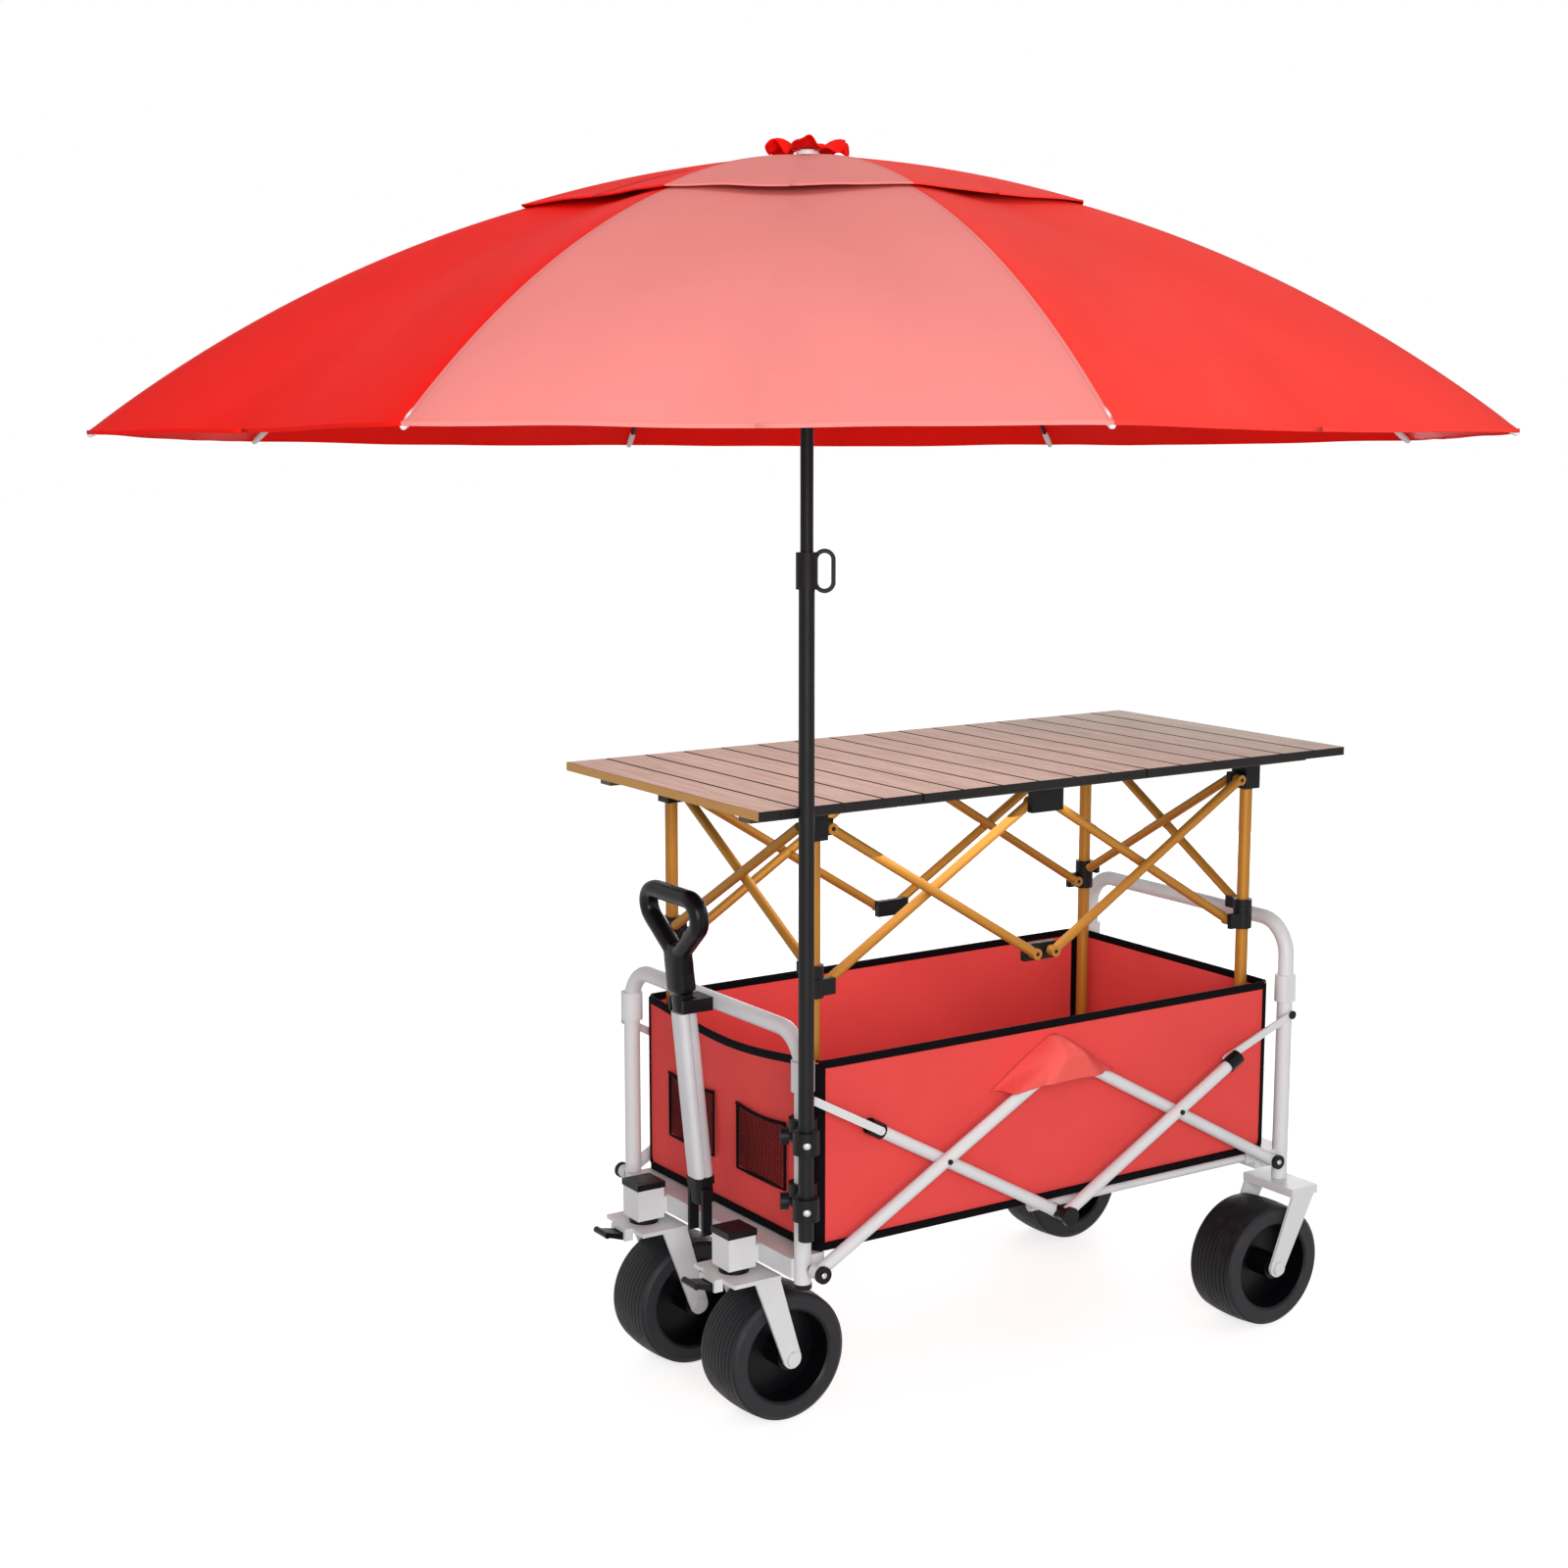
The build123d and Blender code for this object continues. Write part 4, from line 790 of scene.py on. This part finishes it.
# %% [markdown]
# ## The lines of the ribs
# The canopy lies on eight bowed ribs, so its form starts from their line. The pole leans a little, and
# `mast_x`, `mast_y` and `mast_up` are its own axes. A rib is part of a circle, worked out from its chord
# and its bow as in CAD: `rib_arc` gives the distance from the pole and the height at any reach along it.

# %% Rib lines
lean, lean_turn, first_rib = radians(2), radians(56.5), radians(-15)
mast_base = Vector((-0.500, -0.300, 0.420))
across_lean = sin(lean)
mast_up = Vector((across_lean * cos(lean_turn), across_lean * sin(lean_turn), cos(lean)))
mast_x = Vector((cos(first_rib), sin(first_rib), 0))
mast_x = (mast_x - mast_up * mast_x.dot(mast_up)).normalized()
mast_y = mast_up.cross(mast_x)
crown_s, hub_r = 1.370, 0.020
rib_reach, rib_fall, rib_bow = 0.925, 0.352, 0.070
chord = hypot(rib_reach - hub_r, rib_fall)
arc_radius = chord**2 / (8 * rib_bow) + rib_bow / 2
first_angle = atan2(rib_fall, rib_reach - hub_r) - asin(chord / (2 * arc_radius))


def rib_axes(index):
    a = radians(45 * index)
    return mast_x * cos(a) + mast_y * sin(a), mast_y * cos(a) - mast_x * sin(a)


def rib_arc(reach):
    angle = first_angle + asin(reach / (2 * arc_radius))
    return hub_r + reach * cos(angle), crown_s - reach * sin(angle)


print("rib chord", round(chord, 3), "on a circle of", round(arc_radius, 3))

# %% [markdown]
# ## Canopy materials
# The cloth is thin coated polyester. Its UV map is in metres, with u across a strip and v along the rib, so
# the weave, the long soft creases and the stitches on both sides of each rib follow the cut. Two gores are
# painted lighter, as painted light where the key lamp falls on them: one pale, the next a warmer red. The
# others share one red.

# %% Canopy materials
def canopy_material(name, colour):
    s = Shader(name, 0.66, Specular_IOR_Level=0.02)
    place = s.place("UV")
    u, v = s.axis(place, "X"), s.axis(place, "Y")
    thread = 2 * pi / 0.0011
    weave = (u * thread).sine() * (v * thread).sine() * 0.5 + 0.5
    crease = s.noise(place, 5, 4, (1, 0.35, 1))
    seam = 1 - s.ramp((u.size() - 0.0042).size(), 0.0004, 0.0012)
    stitch = seam * (v * (2 * pi / 0.004)).sine().above(-0.2)
    tone = s.mix(s.ramp(crease, 0.35, 0.7) * 0.6 + weave * 0.1, colour, toned(colour, 0.84))
    s.feed("Base Color", s.mix(stitch * 0.6, tone, toned(colour, 0.55)))
    s.feed("Roughness", crease * 0.2 + 0.44)
    s.bump(weave * 0.35 + crease * 1.5 - stitch * 1.2, 0.16, 0.0012)
    return s.material


canopy_red = canopy_material("canopy_red", (0.91, 0.012, 0.008))
# The warmer and the pale copies of the red are painted light for the two gores that the key lamp falls on.
canopy_painted_half_lit = canopy_material("canopy_painted_half_lit", (0.90, 0.052, 0.040))
canopy_painted_lit = canopy_material("canopy_painted_lit", (0.785, 0.235, 0.216))
gore_painted_light = {5: canopy_painted_lit, 6: canopy_painted_half_lit}


def canopy_part(made, index, keep):
    """Paint the halves of a strip as the gores beside its rib."""
    across = rib_axes(index)[1]
    # The gores listed in the dict above take the paler copies of the red: painted light.
    for gore in (index - 1, index):
        made.data.materials.append(gore_painted_light.get(gore % 8, canopy_red))
    for face in made.data.polygons:
        face.material_index = 2 if (face.center - mast_base).dot(across) > 0 else 1
    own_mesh(made)
    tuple(across)


print("gores in their own cloth", len(gore_painted_light))

# %% [markdown]
# ## The canopy
# The canopy is one sheet over the ribs. To let it close with them, the mesh is cut down the middle of each
# gore, where nobody sees it. At the cut the surface is level, so the shading runs through without a line.
#
# Across a strip, `w` runs from -1 to 1. At `w` = 0 the cloth lies on the rib, and at the ends, in the
# middle of a gore, it dips and its rim is pulled in a little. The strips of the vent cap `lap` each other
# near the top, so no slit opens there as the ribs close.

# %% Canopy cloth
half_gore = radians(22.5)
gore_side = sin(half_gore) * cos(half_gore)
gore_back = sin(half_gore) ** 2
rib_soft = 0.03
canopy_cut = dict(inner=0.085, outer=chord + 0.006, rise=0.0052, sink=0, dip=0.010, scallop=0.018)
canopy_cut |= dict(lap=0.0, rows=48, columns=28, keep=0.76)
vent_cut = dict(inner=0.006, outer=0.372, rise=0.0148, sink=0.0040, dip=0.003, scallop=0.008)
vent_cut |= dict(lap=0.0065, rows=20, columns=20, keep=0.80)


def canopy_strip(name, index, inner, outer, rise, sink, dip, scallop, lap, rows, columns, keep):
    out, across = rib_axes(index)
    full_bend = sqrt(1 + rib_soft**2) - rib_soft

    def place(u, v):
        w = 2 * u - 1
        r, s = rib_arc(inner + (outer - inner) * v)
        bend = (sqrt(w * w + rib_soft**2) - rib_soft) / full_bend
        level = (1 - cos(pi * w)) / 2
        r = r * (1 - scallop * level * v**4)
        s = s + rise - sink * v - dip * level * sin(pi * min(1, 0.12 + 0.8 * v))
        ripple = noise.noise(Vector((w * 2.2 + index, v * 5, index * 1.7)))
        s += 0.0022 * ripple * sin(pi * abs(w)) * v
        if lap and index % 2:
            s -= 0.0005 * level
        wide = gore_side * r + lap * (1 - v) ** 2
        return mast_base + out * (r * (1 - gore_back * bend)) + across * (wide * w) + mast_up * s

    def flat(u, v):
        reach = inner + (outer - inner) * v
        return ((2 * u - 1) * sin(half_gore) * (hub_r + reach * 0.94), reach)

    made = sheet_grid(name, place, columns, rows, canopy_red, f"rib_{index + 1}", 0.0012, flat)
    made.modifiers["thickness"].use_rim = False
    canopy_part(made, index, keep)
    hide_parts("canopy")
    return made


strips = [canopy_strip(f"canopy_strip_{k + 1}", k, **canopy_cut) for k in range(8)]
caps = [canopy_strip(f"vent_strip_{k + 1}", k, **vent_cut) for k in range(8)]
for group, size in ((strips, (0.80, chord - 0.079)), (caps, (0.32, 0.366))):
    for k, made in enumerate(group):
        f"rib_{k + 1}"
        cloth_area(made, 4)
print("canopy strips", len(strips), "vent strips", len(caps))

# %% [markdown]
# ## Hems and ferrules
# The rim and the vent cap have a turned hem: a thin band swept along each strip's last row of points,
# riding on the same rib. Pale ferrules close the rib ends. A ferrule is turned, so it is lofted from rings
# that follow a profile of (distance back from the tip, radius).

# %% Canopy trim
for group, cut, tall in ((strips, canopy_cut, 0.0050), (caps, vent_cut, 0.0026)):
    for k, strip in enumerate(group):
        last_row = strip.data.vertices[cut["rows"] * (cut["columns"] + 1) :]
        edge = [vertex.co.copy() for vertex in last_row]
        hem_tape = rounded(0.0020, tall, 0.0008, 2)
        band = sweep("hem_" + strip.name, edge, hem_tape, canopy_red, f"rib_{k + 1}", up=mast_up)
        canopy_part(band, k, cut["keep"])

ferrule_sides = 14
ferrule_profile = ((0.030, 0.0032), (0.028, 0.0046), (0.012, 0.0050))
ferrule_profile += ((0.002, 0.0046), (-0.004, 0.0036), (-0.006, 0.0012))
tip_r, tip_s = rib_arc(chord)
back_r, back_s = rib_arc(chord - 0.03)
for k in range(8):
    out, across = rib_axes(k)
    run = (out * (tip_r - back_r) + mast_up * (tip_s - back_s)).normalized()
    top = run.cross(across)
    tip = mast_base + out * tip_r + mast_up * tip_s
    points = []
    for back, radius in ferrule_profile:
        for c, s in circle(ferrule_sides):
            points.append(tip - run * back + across * radius * c + top * radius * s)
    faces = ring_faces(len(ferrule_profile), ferrule_sides)
    piece(f"ferrule_{k + 1}", points, faces, white_plastic, f"rib_{k + 1}")
print("hems", len(strips) + len(caps), "ferrules", 8)

# %% [markdown]
# ## The gathered top
# A gathered red ruffle sits round the pale finial and hides where the strips meet. It is a ring of cloth
# whose height and radius wave, so it looks sewn on a thread.

# %% Gathered top
ruffle_rows, ruffle_steps = 6, 120
ruffle_inner, ruffle_width = 0.0175, 0.036
apex = mast_base + mast_up * (rib_arc(0.004)[1] + 0.0154)
points = []
for j in range(ruffle_rows):
    t = j / (ruffle_rows - 1)
    for i in range(ruffle_steps):
        a = 2 * pi * i / ruffle_steps
        wave = sin(6 * a + 0.9 * sin(2 * a)) + 0.35 * sin(13 * a)
        r = ruffle_inner + ruffle_width * t + 0.006 * t * sin(6 * a + 1.2)
        lift = 0.0085 + 0.010 * sin(pi * 0.62 * t) + 0.0085 * t * wave - 0.007 * t * t
        out = mast_x * cos(a) + mast_y * sin(a)
        points.append(apex + out * r + mast_up * max(0.0030 - 0.004 * t, lift))
faces = ring_faces(ruffle_rows, ruffle_steps, first=False, last=False)
ruffle = piece("top_ruffle", points, faces, canopy_red, "mast_head")
thicken(ruffle, 0.0012, offset=-1)
print("ruffle area", cloth_area(ruffle, 5))

# %% [markdown]
# ## Painting the CAD nodes
# Every other CAD node takes one of the materials above, also a node that a piece replaces, so none is left
# bare. Where a node holds two colours, its faces are sorted: the scissor links are white tubes with black
# joints and rivet ends, and the crown is dark with a pale finial on top. A narrow Bevel modifier takes the
# knife edge off the clamps and the forks.

# %% Paint the nodes
def paint(material, *names):
    for name in names:
        dress(name, material)


def paint_part(name, material, test):
    mesh = nodes[name].data
    mesh.materials.append(material)
    index = len(mesh.materials) - 1
    for face in mesh.polygons:
        if test(face.center):
            face.material_index = index


forks = ("caster_fork_left", "caster_fork_right")
links = ("link_front_falling", "link_front_rising", "link_rear_falling", "link_rear_rising")
table_links = [f"table_link_{end}_{way}" for end in ("front", "rear") for way in ("hanging", "standing")]
paint(white_paint, "front_frame", "rear_frame", "stay_front", "stay_rear", "floor_rails", *forks, *links)
paint(black_plastic, "front_fittings", "rear_fittings", "umbrella_clamps")
paint(black_plastic, "table_front_brackets", "table_rear_brackets", "table_slider_front", "table_slider_rear")
paint(black_plastic, "table_mid_top", "table_mid_bottom")
paint(black_gloss, "brake_pedal_left", "brake_pedal_right", "handle_grip")
paint(gold_upright, "table_front_legs", "table_rear_legs")
paint(gold_slanted, *table_links)
paint(handle_silver, "handle_outer", "handle_inner")
paint(pole_black, "lower_pole", "upper_pole", "runner", "crown")
paint(rib_black, *[f"{kind}_{k}" for kind in ("rib", "stretcher") for k in range(1, 9)])
paint(tub_red, "tub")
paint(canopy_red, "canopy")
finial_from = rib_arc(0.004)[1] + 0.016
paint_part("crown", pale_plastic, lambda c: (c - mast_base).dot(mast_up) > finial_from)

# Three joints and two rivets, as (x, z, reach, least distance from the middle plane).
black_spots = ((-0.0075, 0.262, 0.026, 0), (-0.3481, 0.4498, 0.018, 0), (0.3331, 0.4498, 0.018, 0))
black_spots += ((-0.23425, 0.387, 0.0047, 0.2815), (0.21925, 0.387, 0.0047, 0.2815))
for name in links:
    for x, z, reach, beyond in black_spots:
        paint_part(name, black_gloss, lambda c: hypot(c.x - x, c.z - z) < reach and abs(c.y) >= beyond)
for name in ("umbrella_clamps", *forks):
    bevel = nodes[name].modifiers.new("soft edges", "BEVEL")
    bevel.width = 0.0012
    bevel.segments = 3
    bevel.limit_method = "ANGLE"
    bevel.angle_limit = radians(40)
print("nodes", len(nodes), "materials", len(bpy.data.materials))

# %% [markdown]
# ## The tube of the pull handle
# The real tube is a stout drawn profile with round corners and a narrow groove down each side, standing in
# a black moulded foot. The CAD tube is plainer and slimmer, so a sweep takes its place: a rounded rectangle
# with a notch on each side, drawn along the lean. The foot is a sweep too, and its heel is narrower, so
# that it turns freely between the lugs of the yoke. Edges steeper than 30 degrees are marked sharp, so the
# groove shows a clean line while the corners stay smooth.

# %% Pull tube
handle_lean = radians(6)
handle_foot = Vector((-0.486, 0, 0.306))
handle_up = Vector((-sin(handle_lean), 0, cos(handle_lean)))
handle_out = Vector((-cos(handle_lean), 0, -sin(handle_lean)))


def handle_run(name, low, high, outline, material):
    path = [handle_foot + handle_up * s for s in (low, high)]
    made = sweep(name, path, outline, material, "handle_tube", up=handle_out)
    made.data.set_sharp_from_angle(angle=radians(30))
    return made


def notched(outline, level, half, deep):
    """An outline with a groove cut into both of its sides, at one level."""
    cut = []
    for k, (a, b) in enumerate(outline):
        cut.append((a, b))
        next_a, next_b = outline[(k + 1) % len(outline)]
        if abs(next_a - a) < 1e-6 and abs(next_b - b) > 2 * half:
            way, side = copysign(1, next_b - b), copysign(1, a)
            for step, depth in ((-half, 0), (-half * 0.7, deep), (half * 0.7, deep), (half, 0)):
                cut.append((a - side * depth, level + way * step))
    return cut


tube_outline = notched(rounded(0.0365, 0.0310, 0.0100, 5), level=0.003, half=0.0022, deep=0.0034)
pull_tube = handle_run("pull_tube", 0.0195, 0.289, tube_outline, handle_silver)
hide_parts("handle_outer")
pull_foot = handle_run("pull_foot", 0.0190, 0.0310, rounded(0.0387, 0.0332, 0.0095, 5), black_plastic)
pull_heel = handle_run("pull_heel", -0.0105, 0.0190, rounded(0.0305, 0.0300, 0.0095, 5), black_plastic)
print("pull tube with", len(tube_outline), "outline points")

# %% [markdown]
# ## The grip of the pull handle
# The real grip is one moulding: a rounded loop that runs down into a neck and a stem. The CAD grip is
# plainer and slimmer, so a softer one takes its place. A tube is swept round the loop, the outline round
# three circles, and a nearly square stem, narrow at its foot to pass the catch, is lofted from rings. The
# Remesh modifier melts the two into one skin and Smooth rounds the crotch.

# %% Grip
loop_circles = ((0.046, 0.443, 0.0255), (-0.046, 0.443, 0.0255), (0, 0.390, 0.014))
loop_steps, stem_sides = 72, 24
loop_path = []
for ny, ns in circle(loop_steps):
    y, s, r = max(loop_circles, key=lambda c: c[0] * ny + c[1] * ns + c[2])
    loop_path.append(handle_foot + Vector((0, y + r * ny, 0)) + handle_up * (s + r * ns))
points, faces = swept(loop_path, rounded(0.026, 0.029, 0.0120), handle_out, closed=True)

stem_rings = ((0.2895, 0.0146, 0.0138), (0.292, 0.0155, 0.0147), (0.3195, 0.0155, 0.0147))
stem_rings += ((0.3225, 0.0230, 0.0184), (0.336, 0.0230, 0.0183), (0.350, 0.0233, 0.0178))
stem_rings += ((0.366, 0.0256, 0.0170), (0.381, 0.0275, 0.0152), (0.393, 0.0200, 0.0115))
loop_count = len(points)
for s, wide, deep in stem_rings:
    for turn in circle(stem_sides):
        y, out = (copysign(abs(v) ** 0.7, v) for v in turn)
        points.append(handle_foot + handle_up * s + Vector((0, wide * y, 0)) + handle_out * (deep * out))
for face in ring_faces(len(stem_rings), stem_sides):
    faces.append(tuple(loop_count + i for i in face))
grip = piece("grip", points, faces, black_gloss, "handle_slider")
melt = grip.modifiers.new("one skin", "REMESH")
melt.voxel_size = 0.0018
melt.use_smooth_shade = True
soften = grip.modifiers.new("soft crotch", "SMOOTH")
soften.iterations = 8
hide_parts("handle_grip")
print("grip", loop_steps, "steps round the loop")

# %% [markdown]
# ## Small hardware
# The rivets along the table's edges and the bright bolt heads on the clamps and lower link joints are too
# small for CAD bodies, so they are turned here as shallow domes: rings of points that close in to the
# middle. A clamp's bolt head looks away from the post, so its place is found from the pole's line.

# %% Hardware
def dome(name, place, axis, body, radius, height, material, slot_name):
    place, axis = Vector(place), Vector(axis).normalized()
    side = axis.orthogonal().normalized()
    other = axis.cross(side)
    rows, sides = 5, 18
    points = []
    for j in range(rows):
        t = pi / 2 * j / rows
        spread = radius * cos(t)
        for c, s in circle(sides):
            points.append(place + axis * height * sin(t) + side * spread * c + other * spread * s)
    points.append(place + axis * height)
    faces = ring_faces(rows, sides, last=False)
    last_ring, top = (rows - 1) * sides, rows * sides
    faces += [(last_ring + i, last_ring + (i + 1) % sides, top) for i in range(sides)]
    piece(name, points, faces, material, body)


sunk = 0.0002
rivet = dict(radius=0.0026, height=0.0010, material=black_gloss, slot_name="black_plastic")
link_bolt = dict(radius=0.0046, height=0.0020, material=steel, slot_name="handle_tube")
clamp_bolt = dict(radius=0.0056, height=0.0030, material=steel, slot_name="handle_tube")
panels = {"front": "front_end", "middle": "panel_middle", "rear": "panel_rear"}
for name, body in panels.items():
    low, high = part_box("top_panel_" + name)
    for way, side in both_sides:
        y = (front_low[1] if way < 0 else front_high[1]) - way * sunk
        for k, x in enumerate((low[0] + 0.035, high[0] - 0.035)):
            place = (x, y, table_top - 0.0075)
            dome(f"rivet_{name}_{side}_{k + 1}", place, (0, way, 0), body, **rivet)
for way, side in both_sides:
    for end, x, y in (("front", -0.461, 0.289), ("rear", 0.446, 0.269)):
        place = (x, way * (y - sunk), 0.262)
        dome(f"link_bolt_{end}_{side}", place, (0, way, 0), end + "_end", **link_bolt)
from_post = Vector((-0.034, -0.059, 0)).normalized()
for word, z in (("upper", 0.467), ("lower", 0.372)):
    place = mast_base + mast_up * ((z - mast_base.z) / mast_up.z) + from_post * 0.0187
    dome(f"clamp_bolt_{word}", place, from_post, "front_end", **clamp_bolt)
